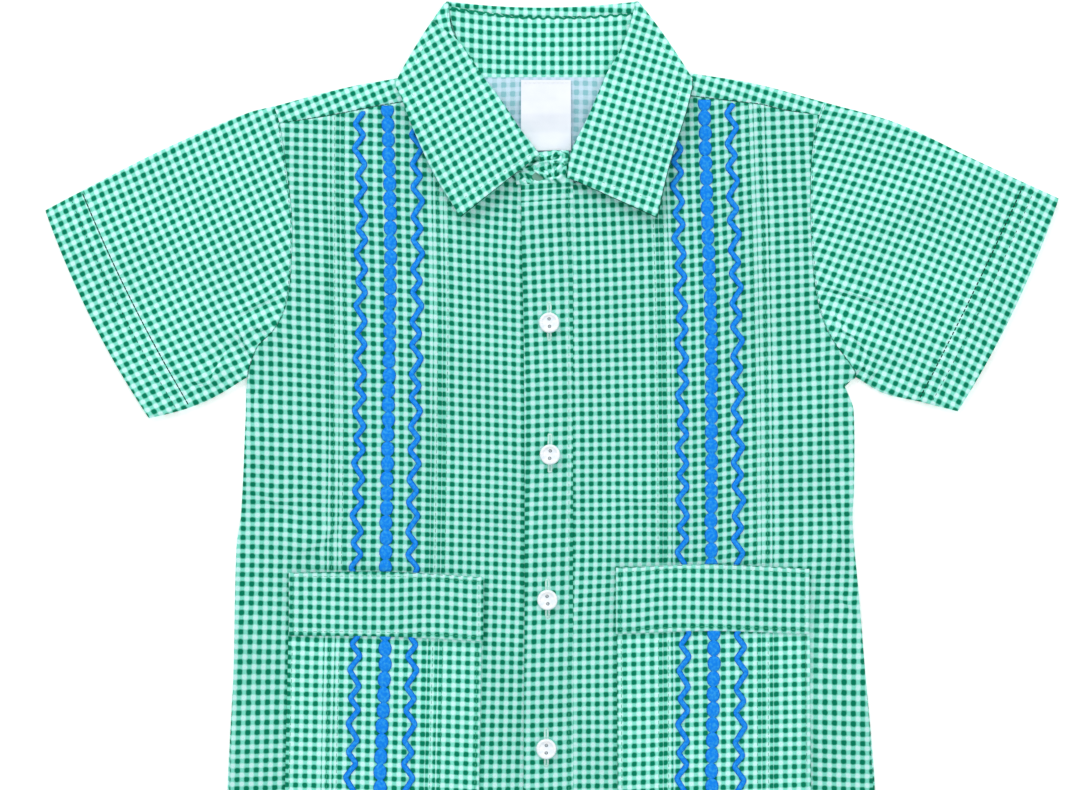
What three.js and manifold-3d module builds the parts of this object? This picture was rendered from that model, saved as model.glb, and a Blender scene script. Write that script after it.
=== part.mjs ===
// A child's short-sleeved button-front romper, lying flat with its front up. It has a turned-down collar,
// two banded pockets, pintucks and two embroidered bands.
// Millimetres. X runs across the garment, Y from the leg hems up to the collar, and Z up from the surface
// that it lies on. In the tables x is measured from the button line, and down from the collar's top fold.
import * as THREE from 'three';
import { mergeVertices } from 'three/addons/utils/BufferGeometryUtils.js';
import Module from 'manifold-3d';

const CLOTH = 1.2; // one layer of cloth
const GAP = 0.3; // between pieces that meet
const SEAM = GAP / 2; // what each of two pieces keeps clear of the seam between them
const LAYER = CLOTH + GAP;
const FRONT_TOP = LAYER + CLOTH; // the front's upper face, where it lies flat on the back
const MIDDLE_X = 1.1; // middle of the width over both cuffs
const MIDDLE_DOWN = 262.5; // middle of the length
const NECK_SEAM = 33.8; // back neck seam, where the collar stands up from the back
const FALL_EDGE = 42; // edge of the collar behind the back
const SHOULDER_POINT = 60; // where the shoulder meets the neck, to either side
const SHOULDER_END = 121; // where the shoulder's fold meets the sleeve
const YOKE_END = 118.6; // where the yoke's seam meets the armhole
const ARMPIT = 165.6;
const CROTCH = 474;
const LEG_END = 524.6;
const HEM_DEPTH = 16; // turned-up hem of each leg and sleeve
const HEM_RAISE = 0.4; // by which the turned hem is thicker
const CUFF_BOW = 3.2; // how far the middle of a cuff stands out past a straight line between its corners
const PLACKET = { right: 9.8, top: 80.9, end: 421 };
const OVERLAP_X = 8.1; // how far the left front runs on under the placket
const POCKET_END = 368.8;
const TUCK = { half: 1.1, height: 0.8 };
const BUTTON = { radius: 4.5, height: 2.3, hole: 0.75, holeApart: 1.7 };

const GINGHAM = { color: 0x5cc79f, roughness: 0.9, metalness: 0 };
const THREAD = { color: 0x1a82ff, roughness: 0.5, metalness: 0 };
const PEARL = { color: 0xeef4f6, roughness: 0.25, metalness: 0 };
const RIBBON = { color: 0xf3f5f8, roughness: 0.8, metalness: 0 };

// The edge goes down the armhole to the armpit and on down the side to the leg hem. The fold is the
// shoulder's top edge. Tucks, chain and zigzags are given where they leave the yoke, and shift moves them
// all as they go down.
const LEFT = {
  name: 'left',
  sign: -1,
  edge: [
    { down: 46.5, x: -121.0 },
    { down: 53.9, x: -118.6 },
    { down: 76.4, x: -115.2 },
    { down: 98, x: -113.0 },
    { down: 125, x: -114.1 },
    { down: 137, x: -116.7 },
    { down: 145.3, x: -121.4 },
    { down: 152, x: -128.0 },
    { down: 165.6, x: -132.7 },
    { down: 184, x: -133.6 },
    { down: 226, x: -135.6 },
    { down: 240, x: -137.6 },
    { down: 294, x: -138.9 },
    { down: 346, x: -140.8 },
    { down: 474, x: -144.5 },
    { down: 524.6, x: -146.0 },
  ],
  fold: [
    { x: -121.0, down: 46.5 },
    { x: -90.7, down: 38.6 },
    { x: -66.1, down: 34.2 },
    { x: -60, down: 33.4 },
  ],
  yokeSeam: [
    { x: -118.6, down: 53.9 },
    { x: -101.2, down: 51.4 },
    { x: -86.3, down: 48.7 },
    { x: -74.8, down: 46.5 },
    { x: -60, down: 44.2 },
  ],
  neckline: [
    { x: -60, down: 44.2 },
    { x: -48, down: 56.2 },
    { x: -30.5, down: 68 },
    { x: -13, down: 79 },
    { x: 8.4, down: 80.4 },
  ],
  shift: [
    { down: 150, by: 0 },
    { down: 250, by: -1.4 },
    { down: 345, by: -3.6 },
    { down: 525, by: -5 },
  ],
  plain: [-110, -102, -76, -60, -34, -13],
  tucks: [-95.2, -90.9, -49.9, -45.5],
  zigzags: { outer: { x: -82.4, start: 48.9 }, inner: { x: -58.3, start: 54.5 } },
  chain: { x: -70.8, start: 46.5 },
  band: [
    { x: -114.3, top: 251.3, bottom: 278.9 },
    { x: -71.8, top: 250.8, bottom: 279.4 },
    { x: -29.0, top: 253.3, bottom: 281.4 },
  ],
  pocket: [
    { down: 251, outer: -114.0, inner: -29.3 },
    { down: 346, outer: -116.1, inner: -30.9 },
    { down: 369, outer: -116.5, inner: -31.2 },
  ],
  sleeveTop: [
    { s: 0, x: -121.3, down: 46.5 },
    { s: 0.13, x: -133.2, down: 49.6 },
    { s: 0.49, x: -170.6, down: 65.8 },
    { s: 0.84, x: -205.7, down: 83.8 },
    { s: 1, x: -221.5, down: 92.2 },
  ],
  sleeveUnder: [
    { s: 0, x: -133.0, down: 165.6 },
    { s: 0.33, x: -147.3, down: 174.3 },
    { s: 0.65, x: -160.0, down: 179.6 },
    { s: 1, x: -175.9, down: 183.7 },
  ],
};

const RIGHT = {
  name: 'right',
  sign: 1,
  edge: [
    { down: 44.8, x: 121.0 },
    { down: 50.4, x: 118.6 },
    { down: 64.5, x: 115.5 },
    { down: 93, x: 114.6 },
    { down: 125, x: 116.6 },
    { down: 140.5, x: 120.1 },
    { down: 149.7, x: 124.5 },
    { down: 159.8, x: 131.6 },
    { down: 165.6, x: 132.6 },
    { down: 180, x: 133.9 },
    { down: 214, x: 133.9 },
    { down: 229, x: 133.2 },
    { down: 260, x: 135.9 },
    { down: 308, x: 139.8 },
    { down: 346, x: 142.3 },
    { down: 474, x: 146.5 },
    { down: 524.6, x: 148.0 },
  ],
  fold: [
    { x: 60, down: 32 },
    { x: 63.9, down: 32.5 },
    { x: 79.7, down: 34.7 },
    { x: 94.2, down: 37.5 },
    { x: 121.0, down: 44.8 },
  ],
  yokeSeam: [
    { x: 60, down: 42 },
    { x: 81.9, down: 44.6 },
    { x: 93.3, down: 45.8 },
    { x: 102.1, down: 48 },
    { x: 118.6, down: 50.4 },
  ],
  neckline: [
    { x: 8.4, down: 80.4 },
    { x: 20, down: 77.5 },
    { x: 34, down: 66 },
    { x: 48, down: 54.5 },
    { x: 60, down: 42 },
  ],
  shift: [
    { down: 45, by: 0 },
    { down: 110, by: 2.2 },
    { down: 176, by: 3.5 },
    { down: 345, by: 4.2 },
    { down: 525, by: 5 },
  ],
  plain: [18, 32, 60, 76, 102, 109],
  tucks: [44.7, 49, 88, 92.8],
  zigzags: { outer: { x: 79.4, start: 45.6 }, inner: { x: 54.3, start: 55.5 } },
  chain: { x: 67.8, start: 43.9 },
  band: [
    { x: 29.1, top: 249.1, bottom: 278.2 },
    { x: 71.3, top: 247.6, bottom: 276.9 },
    { x: 113.9, top: 249.7, bottom: 278.3 },
  ],
  pocket: [
    { down: 247, outer: 113.7, inner: 29.4 },
    { down: 346, outer: 114.8, inner: 29.9 },
    { down: 369, outer: 115, inner: 30 },
  ],
  sleeveTop: [
    { s: 0, x: 121.3, down: 44.8 },
    { s: 0.31, x: 152.6, down: 53.8 },
    { s: 0.63, x: 185.9, down: 69.4 },
    { s: 0.85, x: 208.3, down: 79.9 },
    { s: 1, x: 223.7, down: 87 },
  ],
  sleeveUnder: [
    { s: 0, x: 132.9, down: 165.6 },
    { s: 0.3, x: 146.8, down: 172.5 },
    { s: 0.65, x: 163.5, down: 176.5 },
    { s: 1, x: 179.3, down: 180.6 },
  ],
};

// Depths at which a front, the back and a sleeve's seam all have a row of points, below the yoke's own.
const ARMHOLE_ROWS = [84, 98, 112, 125, 136, 145, 152, 159, ARMPIT];
const UPPER_SHARES = [0, 0.27, 0.6]; // of the way from the yoke seam to the first of those depths

// The largest creases: soft ridges in the laid cloth, each from one end to the other.
const CREASES = [
  { x0: -123, down0: 139, x1: -146, down1: 149, height: 1.6, half: 5 },
  { x0: -136, down0: 156, x1: -152, down1: 170, height: 1.2, half: 5 },
  { x0: -127, down0: 172, x1: -121, down1: 205, height: 1.0, half: 6 },
  { x0: 121, down0: 137, x1: 143, down1: 163, height: 2.0, half: 5.5 },
  { x0: 138, down0: 146, x1: 158, down1: 160, height: 1.4, half: 5 },
  { x0: 118, down0: 134, x1: 123, down1: 226, height: 1.2, half: 5.5 },
  { x0: 130, down0: 216, x1: 126, down1: 250, height: 1.2, half: 5 },
];

// One row for each section across a collar leaf, from its roll at the neck to its outer edge. under is the
// height of the cloth's lower face at that edge, and lip the height to which the roll turns down.
const COLLAR_LEFT = [
  { rollX: -44.2, rollDown: 0.9, edgeX: -46.4, edgeDown: 1.6, under: 3.0, lip: 3.0 },
  { rollX: -42.8, rollDown: 13.2, edgeX: -57.5, edgeDown: 18.0, under: 1.6, lip: 3.0 },
  { rollX: -36.2, rollDown: 22.8, edgeX: -66.2, edgeDown: 33.7, under: 4.6, lip: 3.0 },
  { rollX: -29.6, rollDown: 32.9, edgeX: -67.3, edgeDown: 38.4, under: 4.6, lip: 3.0 },
  { rollX: -21.3, rollDown: 43.9, edgeX: -64.8, edgeDown: 43.2, under: 4.9, lip: 3.3 },
  { rollX: -13.4, rollDown: 55.8, edgeX: -60.4, edgeDown: 55.3, under: 5.4, lip: 3.4 },
  { rollX: -8.5, rollDown: 62.2, edgeX: -50.7, edgeDown: 76.4, under: 4.6, lip: 3.4 },
  { rollX: -4.2, rollDown: 68.0, edgeX: -38.9, edgeDown: 95.7, under: 4.4, lip: 3.6 },
];
const COLLAR_RIGHT = [
  { rollX: 37.8, rollDown: 0.9, edgeX: 40.0, edgeDown: 1.6, under: 3.0, lip: 3.0 },
  { rollX: 34.9, rollDown: 12.3, edgeX: 50.3, edgeDown: 15.2, under: 1.6, lip: 3.0 },
  { rollX: 30.5, rollDown: 22.8, edgeX: 60.9, edgeDown: 31.8, under: 4.6, lip: 3.0 },
  { rollX: 24.8, rollDown: 33.0, edgeX: 62.9, edgeDown: 36.4, under: 4.6, lip: 3.0 },
  { rollX: 20.0, rollDown: 44.0, edgeX: 61.6, edgeDown: 43.5, under: 4.9, lip: 3.3 },
  { rollX: 16.0, rollDown: 53.1, edgeX: 59.0, edgeDown: 53.1, under: 5.6, lip: 3.4 },
  { rollX: 9.4, rollDown: 66.7, edgeX: 52.8, edgeDown: 72.4, under: 4.7, lip: 3.4 },
  { rollX: 7.7, rollDown: 78.1, edgeX: 47.2, edgeDown: 96.1, under: 4.4, lip: 3.6 },
];

// The collar round the back of the neck, from its edge behind the back, up to its top fold and down inside
// to the neck seam. rise is the height of its outer face, lining that of the face within the fold, and sag
// how far the middle of the row hangs below its ends.
const COLLAR_BACK = [
  { down: FALL_EDGE, left: -66.0, right: 61.6, sag: 0, inset: 0, rise: 0, lining: CLOTH },
  { down: 33.5, left: -65.8, right: 61.8, sag: 0, inset: 0, rise: 0, lining: CLOTH },
  { down: 18, left: -57.3, right: 51.8, sag: 1, inset: 0, rise: 0, lining: CLOTH },
  { down: 1.3, left: -45.6, right: 39.5, sag: 2.7, inset: 0.9, rise: 0.15, lining: CLOTH },
  { down: 0.4, left: -45.0, right: 38.9, sag: 2.7, inset: 1.2, rise: 1.35, lining: 1.35 },
  { down: 1.3, left: -44.6, right: 38.5, sag: 2.7, inset: 0.9, rise: 2.5, lining: LAYER },
  { down: 9, left: -43.2, right: 36.2, sag: 2, inset: 0, rise: FRONT_TOP, lining: LAYER },
  { down: 20, left: -39.5, right: 33, sag: 1, inset: 0, rise: FRONT_TOP, lining: LAYER },
  { down: 33.5, left: -36, right: 30, sag: 0, inset: 0, rise: FRONT_TOP, lining: LAYER },
];

// Rows across the bunched binding where the two fronts meet at the neck.
const BINDING = [
  { down: 65.4, left: -3.6, right: 8.6 },
  { down: 68.2, left: -3.2, right: 8.3 },
  { down: 71.0, left: -6.6, right: 8.0 },
  { down: 73.6, left: -9.8, right: 7.6 },
  { down: 76.2, left: -13.0, right: 7.2 },
  { down: 78.4, left: -14.6, right: 6.9 },
  { down: 80.4, left: -15.4, right: 6.8 },
];

const LABEL = { left: -12.5, right: 9.4, top: 34.6, end: 66, thickness: 1 };
const BUTTONS = [
  { x: -0.1, down: 141.7 },
  { x: 0.2, down: 199.5 },
  { x: -0.9, down: 263.2 },
  { x: -1.4, down: 328.5 },
  { x: -1.3, down: 392 },
];

const lerp = (a, b, t) => a + (b - a) * t;
const part = (t) => Math.min(Math.max(t, 0), 1);

// The value of a table's column at a place between its rows, on a smooth curve through them.
function through(rows, along, column) {
  const last = rows.length - 1;
  const slope = (k) => {
    const a = rows[Math.max(k - 1, 0)];
    const b = rows[Math.min(k + 1, last)];
    return (b[column] - a[column]) / (b[along] - a[along]);
  };
  return (at) => {
    if (at <= rows[0][along]) return rows[0][column];
    if (at >= rows[last][along]) return rows[last][column];
    const i = rows.findIndex((row) => row[along] > at) - 1;
    const step = rows[i + 1][along] - rows[i][along];
    const t = (at - rows[i][along]) / step;
    const ease = t * t * (3 - 2 * t);
    const bend = t * (1 - t) * ((1 - t) * slope(i) - t * slope(i + 1));
    return lerp(rows[i][column], rows[i + 1][column], ease) + step * bend;
  };
}

// Close to the neck the back lies on the collar's edge, and the layers above it are lifted a little further
// out, so that no layer touches the one below it as both come down again.
const LIFT_END = 50;
const neckLift = (x) => LAYER * part((76 - Math.abs(x)) / 8);
const backLift = (x, down) => neckLift(x) * part((LIFT_END - down) / 7.5);
const frontLift = (x, down) => LAYER * part((62 - down) / 12) * part((90 - Math.abs(x)) / 14);

function creaseHeight(x, down) {
  return Math.max(0, ...CREASES.map((crease) => {
    const run = new THREE.Vector2(crease.x1 - crease.x0, crease.down1 - crease.down0);
    const to = new THREE.Vector2(x - crease.x0, down - crease.down0);
    const along = to.dot(run) / run.lengthSq();
    const across = Math.abs(to.cross(run)) / run.length();
    const taper = Math.sin(Math.PI * part(along));
    return crease.height * taper * Math.exp(-((across / crease.half) ** 2));
  }));
}

const place = ([x, down, z]) => [x - MIDDLE_X, MIDDLE_DOWN - down, z];

// A closed mesh of these corners and faces, with every face turned out.
function closed(corners, faces) {
  const points = corners.map((corner) => new THREE.Vector3(...place(corner)));
  const volume = faces.reduce((sum, [a, b, c]) => {
    const cross = new THREE.Vector3().crossVectors(points[b], points[c]);
    return sum + points[a].dot(cross);
  }, 0);
  const index = faces.flatMap(([a, b, c]) => (volume > 0 ? [a, b, c] : [a, c, b]));
  const geometry = new THREE.BufferGeometry();
  geometry.setAttribute('position', new THREE.Float32BufferAttribute(points.flatMap((p) => p.toArray()), 3));
  geometry.setIndex(index);
  geometry.computeVertexNormals();
  return geometry;
}

// A wall of cloth between two grids of points, open at its sides or closed on itself as a tube.
function wall(outer, inner, tube = false) {
  const rows = outer.length;
  const columns = outer[0].length;
  const faces = [];
  const quad = (a, b, c, d) => faces.push([a, b, c], [a, c, d]);
  const out = (r, c) => r * columns + (c % columns);
  const within = (r, c) => rows * columns + out(r, c);
  const last = tube ? columns : columns - 1;
  for (let c = 0; c < last; c += 1) {
    for (let r = 0; r < rows - 1; r += 1) {
      quad(out(r, c), out(r + 1, c), out(r + 1, c + 1), out(r, c + 1));
      quad(within(r, c), within(r, c + 1), within(r + 1, c + 1), within(r + 1, c));
    }
    quad(out(0, c), out(0, c + 1), within(0, c + 1), within(0, c));
    quad(out(rows - 1, c + 1), out(rows - 1, c), within(rows - 1, c), within(rows - 1, c + 1));
  }
  for (let r = 0; r < rows - 1 && !tube; r += 1) {
    quad(out(r, 0), within(r, 0), within(r + 1, 0), out(r + 1, 0));
    quad(out(r, last), out(r + 1, last), within(r + 1, last), within(r, last));
  }
  return closed([...outer.flat(), ...inner.flat()], faces);
}

// The same grid of points, moved down by the cloth's thickness.
const below = (grid, thickness) => grid.map((row) => row.map(([x, down, z]) => [x, down, z - thickness]));
const sheet = (grid, thickness = CLOTH) => wall(grid, below(grid, thickness));

// A solid bar through loops of points, closed at both ends.
function bar(loops) {
  const sides = loops[0].length;
  const end = loops.length - 1;
  const faces = [];
  const at = (k, i) => k * sides + (i % sides);
  for (let i = 0; i < sides; i += 1) {
    for (let k = 0; k < loops.length - 1; k += 1) {
      faces.push([at(k, i), at(k + 1, i), at(k + 1, i + 1)], [at(k, i), at(k + 1, i + 1), at(k, i + 1)]);
    }
  }
  for (let i = 1; i < sides - 1; i += 1) {
    faces.push([at(0, 0), at(0, i), at(0, i + 1)], [at(end, 0), at(end, i + 1), at(end, i)]);
  }
  return closed(loops.flat(), faces);
}

// The height of a grid's surface over a place on it.
function heightOn(grid) {
  const triangles = [];
  for (let r = 0; r < grid.length - 1; r += 1) {
    for (let c = 0; c < grid[0].length - 1; c += 1) {
      const [a, b, d, e] = [grid[r][c], grid[r + 1][c], grid[r + 1][c + 1], grid[r][c + 1]];
      triangles.push([a, b, d], [a, d, e]);
    }
  }
  const shares = ([a, b, c], x, down) => {
    const whole = (b[0] - a[0]) * (c[1] - a[1]) - (c[0] - a[0]) * (b[1] - a[1]);
    const v = ((x - a[0]) * (c[1] - a[1]) - (c[0] - a[0]) * (down - a[1])) / whole;
    const w = ((b[0] - a[0]) * (down - a[1]) - (x - a[0]) * (b[1] - a[1])) / whole;
    return [1 - v - w, v, w];
  };
  return (x, down) => {
    const found = triangles.find((triangle) => shares(triangle, x, down).every((share) => share >= -1e-6));
    const weights = shares(found, x, down);
    return found.reduce((sum, corner, i) => sum + weights[i] * corner[2], 0);
  };
}

const wasm = await Module();
wasm.setup();

function toManifold(geometry) {
  const bare = geometry.clone();
  bare.deleteAttribute('normal');
  bare.deleteAttribute('uv');
  const merged = mergeVertices(bare);
  return new wasm.Manifold(new wasm.Mesh({
    numProp: 3,
    vertProperties: merged.attributes.position.array,
    triVerts: Uint32Array.from(merged.index.array),
  }));
}

function fromManifold(solid) {
  const mesh = solid.getMesh();
  const geometry = new THREE.BufferGeometry();
  geometry.setAttribute('position', new THREE.BufferAttribute(mesh.vertProperties, 3));
  geometry.setIndex(new THREE.BufferAttribute(mesh.triVerts, 1));
  geometry.computeVertexNormals();
  return geometry;
}

const garment = new THREE.Group();

function add(name, geometry, finish) {
  const mesh = new THREE.Mesh(geometry, new THREE.MeshStandardMaterial(finish));
  mesh.name = name;
  garment.add(mesh);
}

// The inner edge of a leg below the crotch, as the distance from the middle.
const INSEAM = [
  { down: CROTCH, x: SEAM },
  { down: 480, x: 2.5 },
  { down: 492, x: 5.5 },
  { down: 508, x: 7.5 },
  { down: LEG_END, x: 8 },
];
const inseam = through(INSEAM, 'down', 'x');

// The curves of one side, worked out once from its tables.
function curvesOf(side) {
  const seam = through(side.yokeSeam, 'x', 'down');
  const neck = through(side.neckline, 'x', 'down');
  const outline = {
    edge: through(side.edge, 'down', 'x'),
    fold: through(side.fold, 'x', 'down'),
    seam,
    top: (x) => (Math.abs(x) >= SHOULDER_POINT ? seam(x) : neck(x)) + SEAM,
    shift: through(side.shift, 'down', 'by'),
    bandTop: through(side.band, 'x', 'top'),
    bandBottom: through(side.band, 'x', 'bottom'),
    pocketOuter: through(side.pocket, 'down', 'outer'),
    pocketInner: through(side.pocket, 'down', 'inner'),
  };
  const step = side.sign < 0 ? PLACKET.end : PLACKET.end + 0.8;
  const placketX = side.sign < 0 ? OVERLAP_X : OVERLAP_X + GAP;
  const closeX = side.sign * SEAM;
  outline.steps = [step, step + 3.5];
  outline.inner = (down) => {
    if (down > CROTCH) return side.sign * inseam(down);
    return lerp(placketX, closeX, part((down - step) / 3.5));
  };
  return outline;
}

// Each tuck has a column of points on its crest and one at each foot.
const tuckColumns = (side) => side.tucks.flatMap((x) => [-1, 0, 1].map((foot) => ({
  x: x + foot * TUCK.half,
  crest: foot === 0 ? TUCK.height : 0,
})));

// The columns of a row from the left to the right, moved over by the side's shift at this depth.
function acrossRow(side, columns, shift, outerX, innerX) {
  const between = columns.map(({ x, crest }) => ({ x: x + shift, crest }));
  const outer = { x: outerX, crest: 0, outer: true };
  const inner = { x: innerX, crest: 0 };
  return side.sign < 0 ? [outer, ...between, inner] : [inner, ...between, outer];
}

// A front's upper face. Its tucks lie flat where the pocket covers them.
function frontGrid(side, curves) {
  const plain = side.plain.map((x) => ({ x, crest: 0 }));
  const columns = [...plain, ...tuckColumns(side)].sort((a, b) => a.x - b.x);
  const hidden = [Math.min(...side.band.map((row) => row.top)) - GAP, POCKET_END + GAP];
  const [first] = ARMHOLE_ROWS;
  const seamEnd = curves.top(side.sign * YOKE_END);
  const rows = [
    ...UPPER_SHARES.map((share) => ({ share })),
    ...[...ARMHOLE_ROWS, 175, 200, 226, hidden[0] - 0.8, hidden[0], 310, hidden[1], hidden[1] + 0.8]
      .map((down) => ({ down })),
    ...[...curves.steps, CROTCH, 480, 492].map((down) => ({ down })),
    { down: LEG_END - HEM_DEPTH, hem: 0 },
    { down: LEG_END - HEM_DEPTH + 0.8, hem: 1 },
    { down: LEG_END, hem: 1 },
  ];
  return rows.map((row) => {
    const level = row.down ?? lerp(seamEnd, first, row.share);
    const edges = [curves.edge(level), curves.inner(level)];
    const across = acrossRow(side, columns, curves.shift(level), ...edges);
    return across.map((column) => {
      const top = column.outer ? seamEnd : curves.top(column.x);
      const down = row.down ?? lerp(top, first, row.share);
      const x = column.outer ? curves.edge(down) : column.x;
      const covered = down > hidden[0] - SEAM && down < hidden[1] + SEAM;
      const raised = (covered ? 0 : column.crest) + (row.hem ? HEM_RAISE : 0) + creaseHeight(x, down);
      return [x, down, FRONT_TOP + frontLift(x, down) + raised];
    });
  });
}

// The strip over the shoulder, folded along its top edge, from the back seam round to the front seam.
function yoke(side, curves) {
  const distances = [SHOULDER_END, 105, 90, 83, 76, 68, SHOULDER_POINT + GAP];
  const xs = distances.map((distance) => side.sign * distance).sort((a, b) => a - b);
  const round = 0.8; // how far the fold is rounded
  const soften = 0.15; // by which the cloth thins there
  // share is the way from the fold to the seam, and level 0 the lower face, 1 the upper and 0.5 the middle.
  const section = [
    { share: 1, level: 0, off: 0, rise: 0, offInside: 0, riseInside: CLOTH },
    { share: 0, level: 0, off: round, rise: soften, offInside: 2 * round, riseInside: CLOTH },
    { share: 0, level: 0.5, off: 0, rise: 0, offInside: CLOTH, riseInside: 0 },
    { share: 0, level: 1, off: round, rise: -soften, offInside: 2 * round, riseInside: -CLOTH },
    { share: 0.5, level: 1, off: 0, rise: 0, offInside: 0, riseInside: -CLOTH },
    { share: 1, level: 1, off: 0, rise: 0, offInside: 0, riseInside: -CLOTH },
  ];
  const grid = (off, rise) => section.map((row) => xs.map((nominal) => {
    const down = lerp(curves.fold(nominal), curves.seam(nominal) - SEAM, row.share) + row[off];
    const x = Math.abs(nominal) === SHOULDER_END ? curves.edge(down) : nominal;
    return [x, down, lerp(neckLift(x), FRONT_TOP + frontLift(x, down), row.level) + row[rise]];
  }));
  return wall(grid('off', 'rise'), grid('offInside', 'riseInside'));
}

// A place on a sleeve, s of the way from the armhole to the cuff and t of the way from its top fold to its
// lower one.
function sleevePlace(side, curves) {
  const top = ['x', 'down'].map((column) => through(side.sleeveTop, 's', column));
  const under = ['x', 'down'].map((column) => through(side.sleeveUnder, 's', column));
  const start = side.edge[0].down;
  const [cuffX, cuffDown] = [0, 1].map((i) => under[i](1) - top[i](1));
  const width = Math.hypot(cuffX, cuffDown);
  const outward = [(side.sign * cuffDown) / width, (-side.sign * cuffX) / width];
  return (s, t) => {
    const down = lerp(start, ARMPIT, t);
    const seam = [curves.edge(down) + side.sign * GAP, down];
    return [0, 1].map((i) => {
      const [topStart, topEnd, underStart, underEnd] = [top[i](0), top[i](1), under[i](0), under[i](1)];
      const cuff = lerp(topEnd, underEnd, t) + outward[i] * CUFF_BOW * 4 * t * (1 - t) * s;
      const along = lerp(seam[i], cuff, s);
      const across = lerp(top[i](s), under[i](s), t);
      return along + across - lerp(lerp(topStart, topEnd, s), lerp(underStart, underEnd, s), t);
    });
  };
}

// A flattened sleeve: rings from the armhole to the cuff, over the upper layer and back along the lower one.
function sleeve(side, curves) {
  const sections = [0, 0.1, 0.22, 0.36, 0.56, 0.845, 0.853, 1];
  const hemStart = 0.85;
  const round = 0.6; // how far the folded edges are rounded
  const at = sleevePlace(side, curves);
  const seamTop = curves.top(side.sign * YOKE_END);
  const start = side.edge[0].down;
  const steps = [
    start,
    ...UPPER_SHARES.map((share) => lerp(seamTop, ARMHOLE_ROWS[0], share)),
    ...ARMHOLE_ROWS,
  ];
  const shares = steps.map((down) => (down - start) / (ARMPIT - start));
  const ring = (s, inset, lower, upper) => {
    const width = Math.hypot(at(s, 0)[0] - at(s, 1)[0], at(s, 0)[1] - at(s, 1)[1]);
    const spread = (share) => Math.min(Math.max(share, inset / width), 1 - inset / width);
    const edgeInset = (inset - round) / width;
    const raise = s > hemStart ? HEM_RAISE : 0;
    const over = shares.map((share) => {
      const [x, down] = at(s, spread(share));
      return [x, down, upper + raise + creaseHeight(x, down)];
    });
    const under = [...shares].reverse().map((share) => [...at(s, spread(share)), lower]);
    const middle = (t) => [...at(s, t), FRONT_TOP / 2];
    return [...over, middle(1 - edgeInset), ...under, middle(edgeInset)];
  };
  const outer = sections.map((s) => ring(s, round, 0, FRONT_TOP));
  const inner = sections.map((s) => ring(s, round + CLOTH, CLOTH, FRONT_TOP - CLOTH));
  return wall(outer, inner, true);
}

function back() {
  const left = curvesOf(LEFT);
  const right = curvesOf(RIGHT);
  const xs = [-100, -76, -68, -60, -50, -25, 0, 25, 50, 60, 68, 76, 100];
  const flare = (down) => 0.7 * part((down - 300) / 40); // the back shows a little past the front low down
  const neckX = 50; // the neck seam is level as far as this to either side
  const top = (x) => {
    const curves = x < 0 ? left : right;
    const shoulder = curves.seam(Math.sign(x) * Math.max(Math.abs(x), SHOULDER_POINT)) + SEAM;
    return lerp(NECK_SEAM + GAP, shoulder, part((Math.abs(x) - neckX) / (SHOULDER_POINT - neckX)));
  };
  const rows = [
    top,
    (x) => Math.max(FALL_EDGE + 0.5, top(x) + 2),
    (x) => Math.max(LIFT_END, top(x) + 4),
    ...[62, 72, ...ARMHOLE_ROWS, 175, 200, 226, 260, 310, 346, 420, LEG_END].map((down) => () => down),
  ];
  const grid = rows.map((row) => {
    const leftDown = row(-YOKE_END);
    const rightDown = row(YOKE_END);
    const ends = [
      [left.edge(leftDown) - flare(leftDown), leftDown],
      [right.edge(rightDown) + flare(rightDown), rightDown],
    ];
    const points = [ends[0], ...xs.map((x) => [x, row(x)]), ends[1]];
    return points.map(([x, down]) => [x, down, CLOTH + backLift(x, down)]);
  });
  const beyond = [...INSEAM, { down: LEG_END + 1, x: INSEAM[INSEAM.length - 1].x }];
  const spot = (x, down) => new THREE.Vector2(x - MIDDLE_X, MIDDLE_DOWN - down);
  const notch = new THREE.Shape([
    ...beyond.map(({ x, down }) => spot(x, down)),
    ...beyond.reverse().map(({ x, down }) => spot(-x, down)),
  ]);
  const cutter = new THREE.ExtrudeGeometry(notch, { depth: 3 * CLOTH, bevelEnabled: false });
  cutter.translate(0, 0, -CLOTH);
  return fromManifold(toManifold(sheet(grid)).subtract(toManifold(cutter)));
}

// The wrap of the right front over the left, with a slightly wavering edge.
function placket() {
  const edge = through([
    { down: 80.9, x: -11.6 },
    { down: 150, x: -11.2 },
    { down: 240, x: -10.9 },
    { down: 330, x: -11.3 },
    { down: PLACKET.end, x: -11.2 },
  ], 'down', 'x');
  const rows = [PLACKET.top, 110, 150, 195, 240, 285, 330, 375, PLACKET.end];
  const top = FRONT_TOP + LAYER;
  return sheet(rows.map((down) => [edge(down), -1, PLACKET.right].map((x) => [x, down, top])));
}

function collarLeaf(table, sign) {
  const shares = [0.14, 0.32, 0.5, 0.68, 0.84];
  const crown = 0.6; // how far the leaf arches between its roll and its edge
  const face = (inside) => table.map((row) => {
    const length = Math.hypot(row.edgeX - row.rollX, row.edgeDown - row.rollDown);
    const short = Math.min(1, length / 12); // the leaf is narrow at its upper end
    const step = (distance) => (distance * short) / length;
    const deep = inside ? CLOTH : 0;
    const point = (share, z) => [
      lerp(row.rollX, row.edgeX, share),
      lerp(row.rollDown, row.edgeDown, share),
      z,
    ];
    const arch = (share) => crown * short * Math.sin(Math.PI * share);
    const underAt = (share) => lerp(row.lip + 1.8, row.under, share) + arch(share);
    const topAt = (share) => underAt(share) + CLOTH - deep;
    return [
      point(step(0.6 + deep), row.lip),
      point(step(deep), row.lip + 1.2),
      point(step(0.9 + deep / 2), topAt(step(0.9)) - (inside ? 0.1 : 0.3)),
      ...shares.map((share) => point(share, topAt(share))),
      point(1, topAt(1)),
    ];
  });
  const order = (grid) => (sign < 0 ? grid.map((row) => [...row].reverse()) : grid);
  return wall(order(face(false)), order(face(true)));
}

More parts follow.
